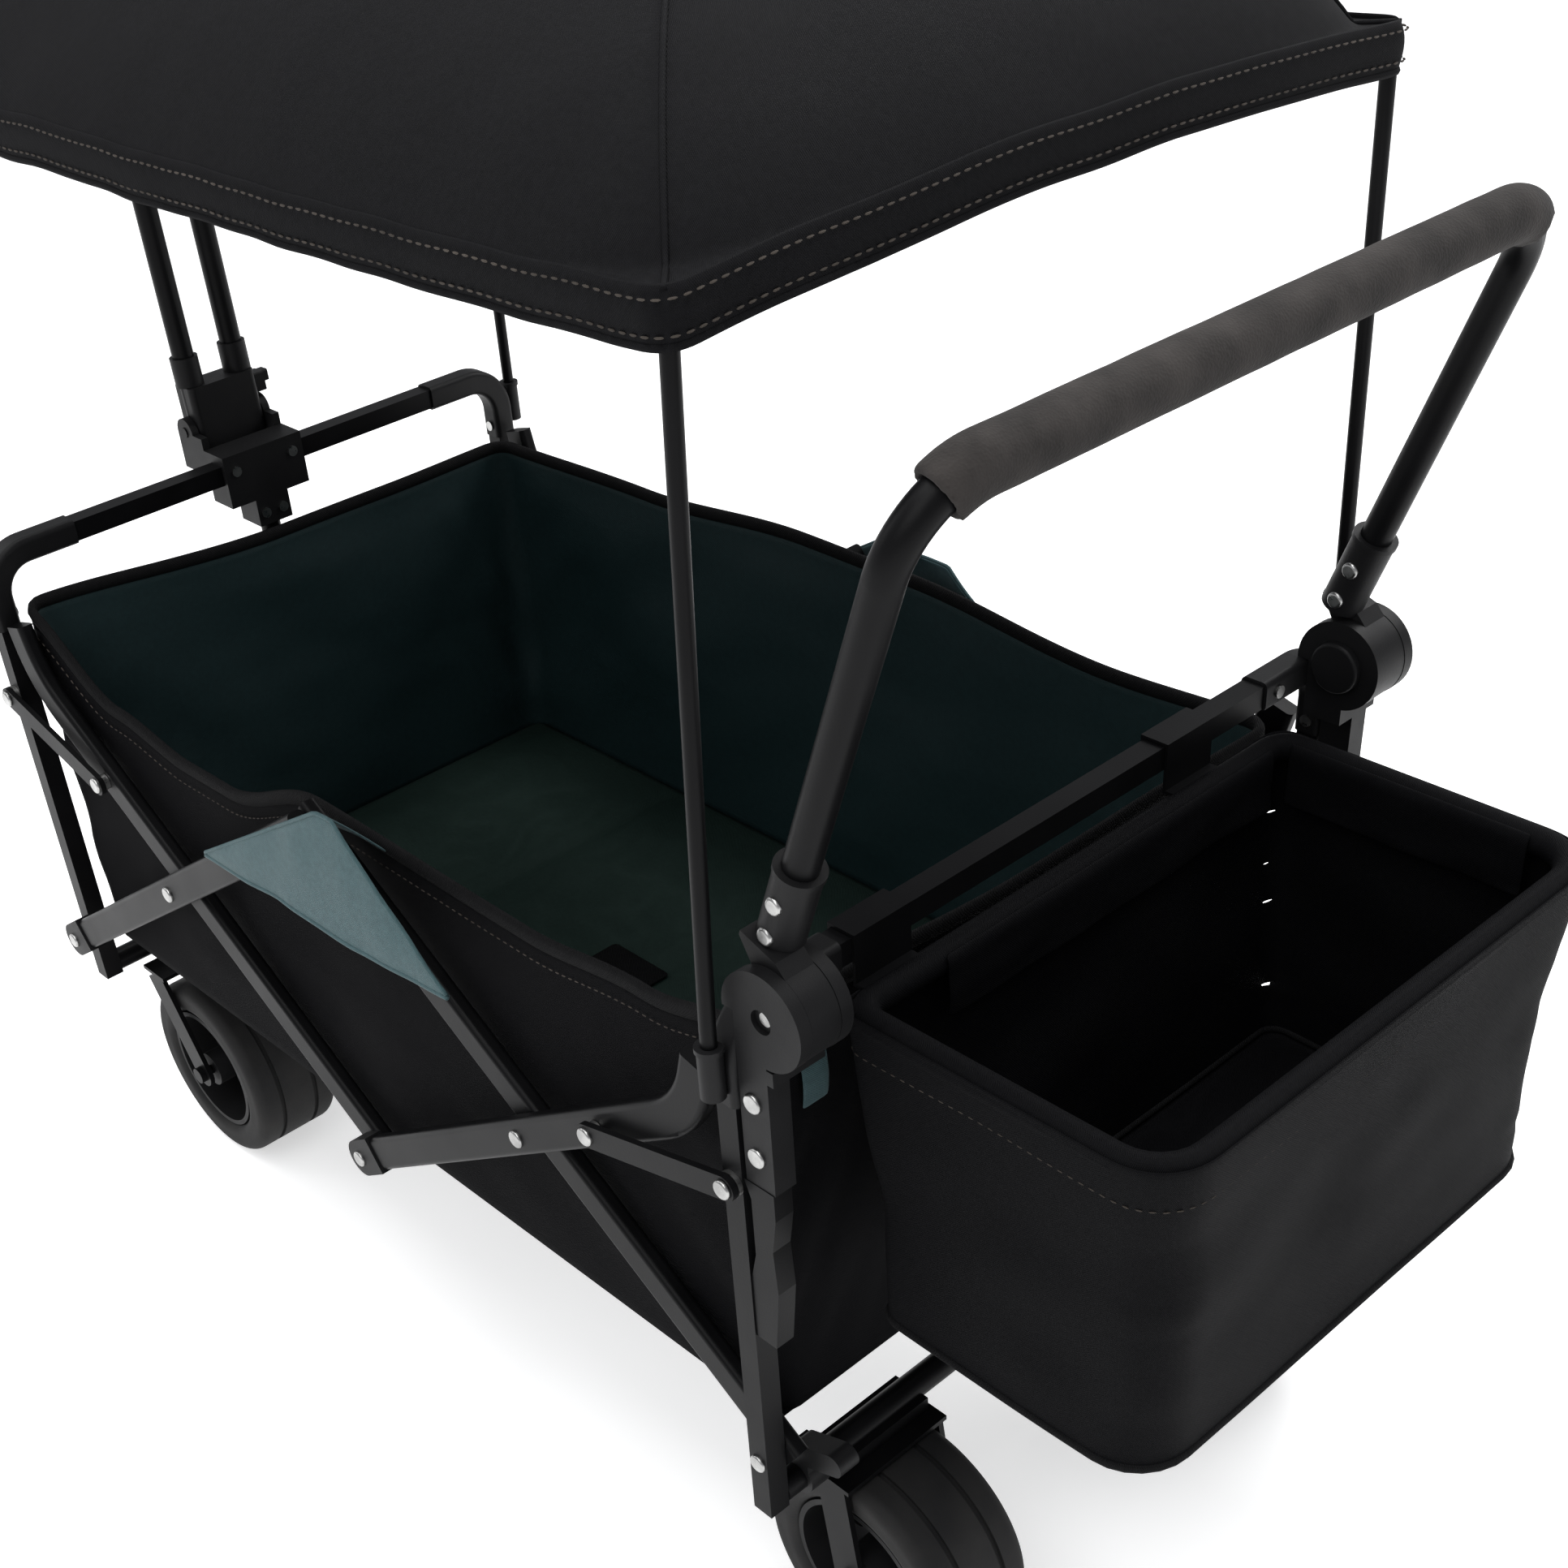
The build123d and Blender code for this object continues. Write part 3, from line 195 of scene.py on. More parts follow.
def rubber(name):
    mat, tree, bsdf = new_material(name, (0.012, 0.012, 0.0125), 0.72, Specular_IOR_Level=0.25)
    at = object_coords(tree)
    vary_color(tree, bsdf, noise_of(tree, at, 30, 6), (0.009, 0.009, 0.0095), (0.017, 0.0165, 0.016))
    vary_rough(tree, bsdf, noise_of(tree, at, 18, 4), 0.58, 0.82)
    bump(tree, bsdf, noise_of(tree, at, 500, 4), 0.25, 0.0006)
    return mat


def woven(name, color, rough=0.8, thread=0.0011, sheen=0.0, specular=0.05, strength=0.5):
    """Plain-weave cloth: crossed threads, slubs in the colour, a soft sheen and faint creases."""
    mat, tree, bsdf = new_material(name, color, rough, Sheen_Weight=sheen, Sheen_Roughness=0.4,
                                   Specular_IOR_Level=specular)
    at = object_coords(tree)
    split = add(tree, "ShaderNodeSeparateXYZ")
    tree.links.new(at, split.inputs[0])
    waves = []
    for a, b in (("X", "Z"), ("Y", "Z")):
        flat = add(tree, "ShaderNodeMath", operation="ADD")
        tree.links.new(split.outputs["X"], flat.inputs[0])
        tree.links.new(split.outputs["Y"], flat.inputs[1])
        turned = add(tree, "ShaderNodeMath", operation="MULTIPLY")
        tree.links.new(flat.outputs[0] if a == "X" else split.outputs["Z"], turned.inputs[0])
        turned.inputs[1].default_value = 2 * math.pi / thread
        wave = add(tree, "ShaderNodeMath", operation="SINE")
        tree.links.new(turned.outputs[0], wave.inputs[0])
        waves.append(wave)
    over = add(tree, "ShaderNodeMath", operation="MULTIPLY")
    tree.links.new(waves[0].outputs[0], over.inputs[0])
    tree.links.new(waves[1].outputs[0], over.inputs[1])
    slub = noise_of(tree, at, 260, 4)
    vary_color(tree, bsdf, slub, [c * 0.9 for c in color], [c * 1.1 for c in color])
    vary_rough(tree, bsdf, noise_of(tree, at, 5, 4), rough - 0.1, min(rough + 0.1, 1.0))
    soft = bump(tree, bsdf, noise_of(tree, at, 26, 5), 0.25, 0.004)
    bump(tree, bsdf, over.outputs[0], strength, 0.00025, soft)
    return mat


STEEL = coated_steel("frame_black", (0.0036, 0.0036, 0.0040), 0.38)
PLASTIC = moulded("plastic_black", (0.007, 0.007, 0.0075), 0.48)
WHEEL_PLASTIC = moulded("wheel_black", (0.0085, 0.0085, 0.009), 0.5, 1100, 0.25)
RIVET = plated("rivet_zinc")
FOAM = foam("foam_grip")
RUBBER = rubber("tyre_rubber")
BLACK_CLOTH = woven("cloth_black", (0.0032, 0.0032, 0.0038))
CANOPY_CLOTH = woven("cloth_canopy", (0.0068, 0.0068, 0.0076), 0.72, 0.0012)
LINING_CLOTH = woven("cloth_lining", (0.0095, 0.026, 0.028), 0.62, 0.0013, specular=0.25)
GREEN_CLOTH = woven("cloth_green", (0.014, 0.030, 0.0245), 0.7, 0.0013, specular=0.22)
TEAL_CLOTH = woven("cloth_teal", (0.050, 0.096, 0.104), 0.6, 0.0013, 0.05, 0.2)
BASKET_CLOTH = woven("cloth_basket", (0.0036, 0.0036, 0.0042), 0.7, 0.0014)
PIPING = woven("piping", (0.0085, 0.0085, 0.009), 0.7, 0.0018, strength=0.9)
THREAD = moulded("thread_brown", (0.045, 0.038, 0.032), 0.7, 900, 0.4)


def paint(obj, mat):
    obj.data.materials.clear()
    obj.data.materials.append(mat)


for node_name, node in frame["nodes"].items():
    if "rivet" in node_name:
        paint(node, RIVET)
    elif "tyre" in node_name:
        paint(node, RUBBER)
    elif "hub" in node_name:
        paint(node, WHEEL_PLASTIC)
    elif any(word in node_name for word in ("elbow", "housing", "socket", "cap", "brake", "bracket", "yoke",
                                            "latch", "sleeve", "button", "pull_handle_grip")):
        paint(node, PLASTIC)
    else:
        paint(node, STEEL)


# ------------------------------------------------------------------ mesh helpers
def smooth_step(t):
    t = max(0.0, min(1.0, t))
    return t * t * (3 - 2 * t)


def between(stations, at):
    """Smooth height at a place, from a short list of (place, height)."""
    for (a, low), (b, high) in zip(stations, stations[1:]):
        if at <= b:
            return low + (high - low) * smooth_step((at - a) / (b - a))
    return stations[-1][1]


def straight(corners, at):
    """Height at a place on a line through (place, height) corners."""
    for (a, low), (b, high) in zip(corners, corners[1:]):
        if at <= b:
            return low + (high - low) * (at - a) / (b - a)
    return corners[-1][1]


def grid_object(name, rows, mat, closed=False, thickness=0.0, levels=1, offset=0.0, caps=False):
    """Mesh through rows of points; closed joins each row's ends, caps fills the first and last row."""
    mesh = bpy.data.meshes.new(name)
    bm = bmesh.new()
    verts = [[bm.verts.new(p) for p in row] for row in rows]
    for low, high in zip(verts, verts[1:]):
        count = len(low)
        for k in range(count if closed else count - 1):
            n = (k + 1) % count
            bm.faces.new((low[k], low[n], high[n], high[k]))
    if caps:
        bm.faces.new(verts[0])
        bm.faces.new(verts[-1])
    bmesh.ops.remove_doubles(bm, verts=bm.verts, dist=1e-6)
    bmesh.ops.recalc_face_normals(bm, faces=bm.faces)
    bm.to_mesh(mesh)
    bm.free()
    obj = bpy.data.objects.new(name, mesh)
    bpy.context.scene.collection.objects.link(obj)
    paint(obj, mat)
    if thickness:
        shell = obj.modifiers.new("shell", "SOLIDIFY")
        shell.thickness = thickness
        shell.offset = offset
    if levels:
        smooth = obj.modifiers.new("smooth", "SUBSURF")
        smooth.levels = smooth.render_levels = levels
    return bake(obj)


def bake(obj):
    """Applies every modifier to the mesh."""
    depsgraph = bpy.context.evaluated_depsgraph_get()
    mesh = bpy.data.meshes.new_from_object(obj.evaluated_get(depsgraph))
    obj.modifiers.clear()
    obj.data = mesh
    for poly in mesh.polygons:
        poly.use_smooth = True
    return obj


def tube(name, points, radius, mat, closed=False, sides=8, oval=1.0):
    """Round cord or binding through points; oval flattens it across Z."""
    rows = []
    count = len(points)
    for k, p in enumerate(points):
        p = Vector(p)
        ahead = Vector(points[(k + 1) % count] if closed or k < count - 1 else points[k])
        behind = Vector(points[k - 1] if closed or k > 0 else points[k])
        along = (ahead - behind).normalized()
        side = along.cross(Vector((0, 0, 1)))
        side = side.normalized() if side.length > 1e-4 else Vector((0, 1, 0))
        up = side.cross(along)
        ring = []
        for n in range(sides):
            a = 2 * math.pi * n / sides
            ring.append(p + radius * (side * math.cos(a) + up * math.sin(a) * oval))
        rows.append(ring)
    if closed:
        rows.append(rows[0])
    return grid_object(name, rows, mat, closed=True, levels=0, caps=not closed)


def stitches(name, points, mat, length=0.0042, gap=0.0026, radius=0.0006):
    """Row of short thread stitches along points."""
    path = [Vector(p) for p in points]
    mesh = bpy.data.meshes.new(name)
    bm = bmesh.new()
    travelled = 0.0
    for a, b in zip(path, path[1:]):
        span = (b - a).length
        if span < 1e-7:
            continue
        along = (b - a) / span
        side = along.cross(Vector((0, 0, 1)))
        side = side.normalized() if side.length > 1e-4 else Vector((0, 1, 0))
        up = side.cross(along)
        while travelled < span:
            centre = a + along * travelled
            rings = []
            for t, r in ((-0.5, 0.35), (-0.25, 1.0), (0.25, 1.0), (0.5, 0.35)):
                ring = []
                for n in range(5):
                    turn = 2 * math.pi * n / 5
                    spoke = side * math.cos(turn) + up * math.sin(turn)
                    ring.append(bm.verts.new(centre + along * t * length + radius * r * spoke))
                rings.append(ring)
            for low, high in zip(rings, rings[1:]):
                for n in range(5):
                    m = (n + 1) % 5
                    bm.faces.new((low[n], low[m], high[m], high[n]))
            bm.faces.new(rings[0])
            bm.faces.new(rings[-1])
            travelled += length + gap
        travelled -= span
    bmesh.ops.recalc_face_normals(bm, faces=bm.faces)
    bm.to_mesh(mesh)
    bm.free()
    obj = bpy.data.objects.new(name, mesh)
    bpy.context.scene.collection.objects.link(obj)
    paint(obj, mat)
    return obj


def wrinkle(p, size, amount):
    """Seeded, smooth bump for cloth."""
    return amount * noise.noise(Vector(p) / size)


def fold_with_sides(obj):
    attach(obj, "rear_frame")
    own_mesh(obj)


# ------------------------------------------------------------------ tub
NEAR_TOP = [(-1.0, 0.500), (-0.72, 0.450), (-0.5, 0.437), (-0.36, 0.438), (-0.04, 0.476), (0.5, 0.473),
            (0.78, 0.486), (1.0, 0.503)]
FAR_TOP = [(-1.0, 0.482), (-0.5, 0.489), (-0.05, 0.502), (0.22, 0.501), (0.7, 0.486), (1.0, 0.490)]
FRONT_TOP = [(-1.0, 0.500), (0.0, 0.484), (1.0, 0.482)]
REAR_TOP = [(-1.0, 0.503), (0.0, 0.488), (1.0, 0.490)]


def tub_ring(inset, count=420):
    """Points round the tub's plan, with soft corners."""
    hx, hy, r = HALF_X - inset, HALF_Y - inset, 0.016
    sides = []
    runs = (("near", (-hx + r, -hy), (hx - r, -hy)), ("rear", (hx, -hy + r), (hx, hy - r)),
            ("far", (hx - r, hy), (-hx + r, hy)), ("front", (-hx, hy - r), (-hx, -hy + r)))
    total = sum(math.dist(a, b) for _, a, b in runs)
    for k, (wall, a, b) in enumerate(runs):
        n = max(2, round(count * math.dist(a, b) / total))
        for i in range(n + 1):
            t = i / n
            sides.append((a[0] + (b[0] - a[0]) * t, a[1] + (b[1] - a[1]) * t))
        turn = -90 + 90 * k
        centre = ((hx - r), -(hy - r)) if k == 0 else ((hx - r), hy - r) if k == 1 else (
            (-(hx - r), hy - r) if k == 2 else (-(hx - r), -(hy - r)))
        for i in (1, 2, 3):
            a_turn = math.radians(turn + 22.5 * i)
            sides.append((centre[0] + r * math.cos(a_turn), centre[1] + r * math.sin(a_turn)))
    return sides


def tub_top(x, y):
    """Height of the tub's top edge at a place on its plan."""
    near, far = between(NEAR_TOP, x / HALF_X), between(FAR_TOP, x / HALF_X)
    if abs(abs(y) - HALF_Y) < 0.02 and abs(x) < HALF_X - 0.002:
        return near if y < 0 else far
    return between(REAR_TOP if x > 0 else FRONT_TOP, y / HALF_Y)


def tub_point(x, y, t, inset):
    """Point of the tub's wall, t from the floor to the top edge, with slack and tension folds."""
    top = tub_top(x, y)
    low = TUB_LOW + inset
    z = low + (top - low) * t
    belly = math.sin(math.pi * min(t * 1.02, 1.0))
    out = Vector((x / HALF_X, y / HALF_Y, 0))
    on_side = abs(out.y) >= abs(out.x)
    normal = Vector((0, math.copysign(1, y), 0)) if on_side else Vector((math.copysign(1, x), 0, 0))
    along = x / HALF_X if on_side else y / HALF_Y
    corner = smooth_step((abs(along) - 0.45) / 0.5)
    amount = 0.0015 * belly - 0.004 * (1 - corner) * smooth_step(t * 1.4 - 0.3)
    amount += wrinkle((x + 4.1, y, z * 0.5), 0.09, 0.0045) * belly
    amount += wrinkle((x * 0.4 + 9, y * 0.4, z), 0.03, 0.0016) * belly
    fan = math.sin(38 * (abs(along) * 0.9 + 0.55 * t)) * corner * belly * 0.0016
    p = Vector((MID_X + x, y, z)) + normal * min(amount + fan, 0.0026)
    return p


def make_tub():
    ring = tub_ring(0.0)
    heights = [0.0, 0.03, 0.08] + [0.08 + 0.92 * k / 26 for k in range(1, 27)]
    outer = [[tub_point(x, y, t, 0.0) for x, y in ring] for t in heights]
    shell = grid_object("tub_outer", outer, BLACK_CLOTH, closed=True, thickness=0.0012, levels=0)
    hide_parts("tub")
    inner = []
    for row in outer:
        line = []
        for p, (x, y) in zip(row, ring):
            depth = tub_top(x, y) - p.z
            slack = smooth_step(depth / 0.05) * smooth_step((p.z - TUB_LOW) / 0.05)
            folds = noise.noise(Vector((x * 9 + depth * 7, y * 9 - depth * 7, depth * 3))) + 0.4
            hem = 0.0014 * math.exp(-((depth - 0.034) / 0.004) ** 2)
            inset = 0.0026 + hem + 0.0065 * slack * max(0.0, folds)
            line.append(p + Vector((-x * inset / HALF_X, -y * inset / HALF_Y, 0.001)))
        inner.append(line)
    lining = grid_object("tub_lining", inner, LINING_CLOTH, closed=True, thickness=0.0009, levels=0)
    edge = [p + Vector((-x * 0.0013 / HALF_X, -y * 0.0013 / HALF_Y, 0.0005))
            for p, (x, y) in zip(outer[-1], ring)]
    binding = tube("tub_binding", edge, 0.0036, PIPING, closed=True, sides=10, oval=1.5)
    stitch = [p + Vector((x * 0.0022 / HALF_X, y * 0.0022 / HALF_Y, -0.013))
              for p, (x, y) in zip(outer[-1], ring)]
    seam = stitches("tub_edge_stitching", stitch + stitch[:1], THREAD, 0.0035, 0.0028, 0.00045)
    floor_rows = []
    for k in range(60):
        x = -HALF_X + 2 * HALF_X * k / 59
        row = []
        for j in range(34):
            y = -HALF_Y + 2 * HALF_Y * j / 33
            sag = -0.002 * (1 - (x / HALF_X) ** 2) * (1 - (y / HALF_Y) ** 2)
            row.append((MID_X + x, y, TUB_LOW + 0.0012 + sag + wrinkle((x, y, 1), 0.07, 0.0008)))
        floor_rows.append(row)
    floor = grid_object("tub_floor", floor_rows, BLACK_CLOTH, thickness=0.0015, levels=0)
    for piece in (shell, lining, binding, seam, floor):
        fold_with_sides(piece)


def make_mat():
    """Quilted floor mat in four stuffed panels."""
    x0, x1, y0, y1 = MAT[0].x, MAT[1].x, MAT[0].y, MAT[1].y
    low = MAT[0].z
    nx, ny = 160, 90
    rings = []
    for i in range(nx + 1):
        x = x0 + (x1 - x0) * i / nx
        panel = ((x - x0) / (x1 - x0) * 4) % 1.0
        top = []
        for j in range(ny + 1):
            v = j / ny
            y = y0 + (y1 - y0) * v
            edge, side = min(panel, 1 - panel) * 8, min(v, 1 - v) * 14
            puff = (1 - math.exp(-2.6 * edge)) * (1 - math.exp(-2.6 * side))
            top.append((x, y, low + 0.0022 + 0.0040 * puff + wrinkle((x, y, 3), 0.035, 0.0009) * puff))
        rings.append(top + [(px, py, low + 0.0006) for px, py, _ in reversed(top)])
    mat = grid_object("mat_top", rings, GREEN_CLOTH, closed=True, levels=0, caps=True)
    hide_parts("floor_mat")
    fold_with_sides(mat)
    patch_rows = []
    for i in range(9):
        x = MID_X - 0.054 + 0.065 * i / 8
        patch_rows.append([(x, -0.002 + 0.030 * j / 5, low + 0.0072) for j in range(6)])
    patch = grid_object("floor_patch", patch_rows, PIPING, thickness=0.0012, levels=1)
    fold_with_sides(patch)


def make_pockets():
    """Bulging flap outside the upper middle joint on each side, joined to the tub's edge at its top."""
    out_y = max(abs(POCKET[0].y), abs(POCKET[1].y)) - 0.0004
    lower = [(-0.116, 0.417), (-0.020, 0.425), (0.064, 0.425), (0.162, 0.432)]
    upper = [(-0.116, 0.419), (0.048, 0.515), (0.066, 0.516), (0.162, 0.434)]
    count, levels = 84, 16
    for side, name in ((-1, "left"), (1, "right")):
        rows = []
        for j in range(levels + 1):
            t = j / levels
            row = []
            for i in range(count + 1):
                x = lower[0][0] + (lower[-1][0] - lower[0][0]) * i / count
                low, high = straight(lower, x), straight(upper, x)
                if side > 0:
                    high = max(low + 0.002, min(high, tub_top(x, HALF_Y) - 0.004))
                z = low + (high - low) * t
                swell = math.sin(math.pi * i / count) * math.sin(math.pi * min(1, 0.15 + t * 0.85))
                bulge = 0.004 * swell + wrinkle((x, side, z), 0.04, 0.0020)
                row.append((MID_X + x, side * (out_y + bulge), z))
            rows.append(row)
        top_run = [p for p in rows[-1] if 0.034 < p[0] - MID_X < 0.064]
        roof = []
        for j in range(9):
            t = j / 8
            line = []
            for x, y, z in top_run:
                edge = tub_top(x - MID_X, side * HALF_Y)
                line.append((x, side * (abs(y) * (1 - t) + (HALF_Y - 0.002) * t),
                             z + (edge - z) * t + 0.001 * math.sin(math.pi * t)))
            roof.append(line)
        flap = grid_object(
            name + "_pocket_flap", rows, TEAL_CLOTH, thickness=0.0014, levels=1, offset=-side * 1.0)
        over = grid_object(name + "_pocket_top", roof, TEAL_CLOTH, thickness=0.0014, levels=1)
        hem = [Vector(p) + Vector((0, side * 0.0006, 0)) for p in rows[0]]
        rope = tube(name + "_pocket_hem", hem, 0.0019, TEAL_CLOTH, sides=8)
        fold = [Vector(p) + Vector((0, side * 0.0008, 0)) for p in rows[-1]]
        edge_line = tube(name + "_pocket_edge", fold, 0.0014, TEAL_CLOTH, sides=8)
        if side < 0:
            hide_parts("side_pockets")
        for piece in (flap, over, rope, edge_line):
            fold_with_sides(piece)


def make_tab():
    """Short teal ribbon sewn to the outside of the tub's rear wall."""
    x = MID_X + HALF_X + 0.0038
    rows = []
    for j in range(9):
        t = j / 8
        bow = x + 0.0016 * math.sin(math.pi * t)
        rows.append([(bow, -0.196 + 0.020 * i / 4, 0.470 - 0.033 * t) for i in range(5)])
    tab = grid_object("rear_tab", rows, TEAL_CLOTH, thickness=0.0012, levels=1)
    fold_with_sides(tab)


# ------------------------------------------------------------------ canopy
def canopy_height(dx, dy):
    """Rise above the hem at these distances in from the end and the side."""
    a, b = dx / 0.052, dy / 0.050
    both = max(0.0, -math.log(math.exp(-a * 1.6) + math.exp(-b * 1.6)) / 1.6)
    return 0.068 * (1 - math.exp(-1.05 * both)) + 0.032 * (1 - math.exp(-0.42 * both))


def make_canopy():
    x0, x1 = CANOPY[0].x, CANOPY[1].x
    mid, hx, hy, hem = (x0 + x1) / 2, (x1 - x0) / 2, CANOPY[1].y, CANOPY[0].z
    skirt, rise, corner = 0.022, 0.025, 0.016

    def surface(u, v):
        """u, v from -1 to 1; returns a point of the cloth."""
        x, y = u * hx, v * hy
        dx, dy = hx - abs(x), hy - abs(y)
        z = hem + rise + canopy_height(dx, dy)
        slack = (1 - u * u) * (1 - v * v)
        z -= 0.004 * slack
        z -= 0.006 * (1 - u * u) * smooth_step(1 - dy / 0.16)
        z += 0.011 * (1 - v * v) * smooth_step(1 - dx / 0.16)
        z += wrinkle((x * 0.6, y * 0.6, 5), 0.08, 0.004) * slack + wrinkle((x, y * 0.5, 8), 0.035, 0.0016)
        pull = 0.29 * corner * (max(0.0, 1 - dx / corner) * max(0.0, 1 - dy / corner)) ** 2
        return Vector((mid + x - math.copysign(pull, x), y - math.copysign(pull, y), z))

    def spread(k, n):
        """Denser towards the edges."""
        t = 2 * k / n - 1
        return math.sin(t * math.pi / 2) * 0.55 + t * 0.45

    nx, ny = 120, 84
    rows = [[surface(spread(i, nx), spread(j, ny)) for j in range(ny + 1)] for i in range(nx + 1)]
    top = grid_object("canopy_top", rows, CANOPY_CLOTH, thickness=0.0014, levels=1, offset=-1.0)
    ring = [rows[i][0] for i in range(nx + 1)] + [rows[nx][j] for j in range(1, ny + 1)]
    ring += [rows[i][ny] for i in range(nx - 1, -1, -1)] + [rows[0][j] for j in range(ny - 1, 0, -1)]
    skirt_rows = []
    for k in range(6):
        t = k / 5
        row = []
        for p in ring:
            flare = 0.0012 * math.sin(math.pi * t) + wrinkle((p.x, p.y, 2), 0.05, 0.0012) * t
            out = Vector(((p.x - mid) / hx, p.y / hy, 0))
            tuck = max(0.0, 1 - 5 * t)
            row.append(p + Vector((0, 0, -skirt * t + 0.003 * tuck)) + out * (flare - 0.0016 * tuck))
        skirt_rows.append(row)
    band = grid_object("canopy_hem_band", skirt_rows, CANOPY_CLOTH, closed=True, thickness=0.0018, levels=1)
    low = skirt_rows[-1]
    cord_line = tube("canopy_hem_roll", low, 0.0022, CANOPY_CLOTH, closed=True, sides=8)
    pieces = [top, band, cord_line]
    for k, drop in enumerate((0.10, 0.78)):
        line = []
        for p in ring:
            out = Vector(((p.x - mid) / hx, p.y / hy, 0))
            line.append(p + Vector((0, 0, -skirt * drop)) + out * 0.0022)
        pieces.append(stitches("canopy_stitching_%d" % k, line + line[:1], THREAD, 0.0042, 0.0026, 0.0006))
    for sx in (-1, 1):
        for sy in (-1, 1):
            seam = []
            for k in range(40):
                d = 0.17 * k / 39
                q = surface(sx * (1 - d * 1.03 / hx), sy * (1 - d / hy))
                seam.append(q + Vector((0, 0, 0.0006)))
            pieces.append(tube("canopy_seam_%d_%d" % (sx + 1, sy + 1), seam, 0.0016, CANOPY_CLOTH, sides=6))
    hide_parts("canopy_fabric")
    for piece in pieces:
        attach(piece, "canopy")
        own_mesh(piece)


# ------------------------------------------------------------------ basket
def basket_ring(x0, x1, half_y, r, count=160):
    """Plan of the basket: square at the wagon, round at its two outer corners."""
    points = []
    small = 0.014
    path = [((x0, half_y - small), (x0, -half_y + small), (x0 + small, -half_y + small), small, 180),
            ((x0 + small, -half_y), (x1 - r, -half_y), (x1 - r, -half_y + r), r, 270),
            ((x1, -half_y + r), (x1, half_y - r), (x1 - r, half_y - r), r, 0),
            ((x1 - r, half_y), (x0 + small, half_y), (x0 + small, half_y - small), small, 90)]
    for a, b, centre, radius, turn in path:
        n = max(3, round(count * math.dist(a, b) / 1.2))
        for i in range(n + 1):
            t = i / n
            points.append((a[0] + (b[0] - a[0]) * t, a[1] + (b[1] - a[1]) * t))
        for i in range(1, 6):
            angle = math.radians(turn + 15 * i)
            points.append((centre[0] + radius * math.cos(angle), centre[1] + radius * math.sin(angle)))
    return points


def inner_flap(name, start, end, inward, rim_z):
    """Band of cloth that hangs inside the basket from its rim, between two places on the rim."""
    rows = []
    for j in range(11):
        t = j / 10
        turn = math.radians(45 + 45 * min(1.0, t * 4))
        reach = 0.0094 * math.sin(turn)
        z = rim_z + 0.0094 * math.cos(turn) - 0.034 * max(0.0, t - 0.25) / 0.75
        row = []
        for i in range(41):
            x, y = (start[k] + (end[k] - start[k]) * i / 40 for k in (0, 1))
            out = reach + wrinkle((x + y, t * 0.1, 6), 0.04, 0.0028) * t
            row.append((x + inward[0] * out, y + inward[1] * out, z))
        rows.append(row)
    return grid_object(name, rows, BASKET_CLOTH, thickness=0.0014, levels=1)


def make_basket():
    x0, x1, hy = BAG[0].x, BAG[1].x, BAG[1].y
    low, high = BAG[0].z, RIM[1].z
    mid = (x0 + x1) / 2
    rows = []
    levels = [0, 0.02, 0.05, 0.1] + [0.1 + 0.9 * k / 22 for k in range(1, 23)]
    for t in levels:
        ring = basket_ring(x0 + 0.020 * (1 - t), x1 - 0.006 * (1 - t), hy - 0.006 * (1 - t), 0.034)
        row = []
        for x, y in ring:
            belly = math.sin(math.pi * t)
            sag = -0.006 * (1 - t) * (1 - ((x - mid) / 0.12) ** 2 * 0.5)
            n = Vector((x - mid, y, 0)).normalized()
            amount = -0.0042 * belly + wrinkle((x * 0.6, y * 0.6, t * 0.16), 0.04, 0.0062) * belly
            z = low + 0.004 + (high + 0.0012 - low - 0.004) * t + sag * max(0.0, 1 - t / 0.3)
            row.append(Vector((x, y, z)) + n * amount)
        rows.append(row)
    centre_rows = []
    for k in range(6):
        shrink = k / 6
        row = []
        for p in rows[0]:
            crease = wrinkle((p.x * shrink, p.y * shrink, 2), 0.05, 0.0012)
            row.append(Vector((mid + (p.x - mid) * shrink, p.y * shrink, p.z - 0.002 * (1 - shrink) + crease)))
        centre_rows.append(row)
    bag = grid_object(
        "basket_cloth", centre_rows + rows, BASKET_CLOTH, closed=True, thickness=0.0016, levels=1, offset=0)
    pieces = [bag]
    hem_z = (RIM[0].z + RIM[1].z) / 2
    rim_x0, rim_x1, rim_y = RIM[0].x, RIM[1].x, RIM[1].y
    path = [(x, y, hem_z) for x, y in basket_ring(rim_x0 + 0.0045, rim_x1 - 0.0045, rim_y - 0.0045, 0.030)]
    cover = tube("basket_rim_cover", path, 0.0081, BASKET_CLOTH, closed=True, sides=16, oval=1.05)
    pieces.append(cover)
    foot = [p + Vector((0, 0, 0.001)) for p in rows[1]]
    pieces.append(tube("basket_foot_piping", foot, 0.0028, PIPING, closed=True, sides=8))
    fold_line = [Vector((mid + (p.x - mid) * 1.004, p.y * 1.004, p.z)) for p in rows[-4]]
    pieces.append(stitches("basket_stitching", fold_line + fold_line[:1], THREAD, 0.0035, 0.003, 0.00045))
    inner_x, inner_y = rim_x0 + 0.0045, rim_y - 0.0045
    pieces.append(inner_flap(
        "basket_inner_flap", (inner_x, HOOKS[0].y + 0.049), (inner_x, inner_y - 0.020), (1, 0), hem_z))
    pieces.append(inner_flap(
        "basket_side_flap", (inner_x + 0.012, inner_y), (rim_x1 - 0.036, inner_y), (0, -1), hem_z))
    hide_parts("basket_bag")
    for piece in pieces:
        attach(piece, "basket")


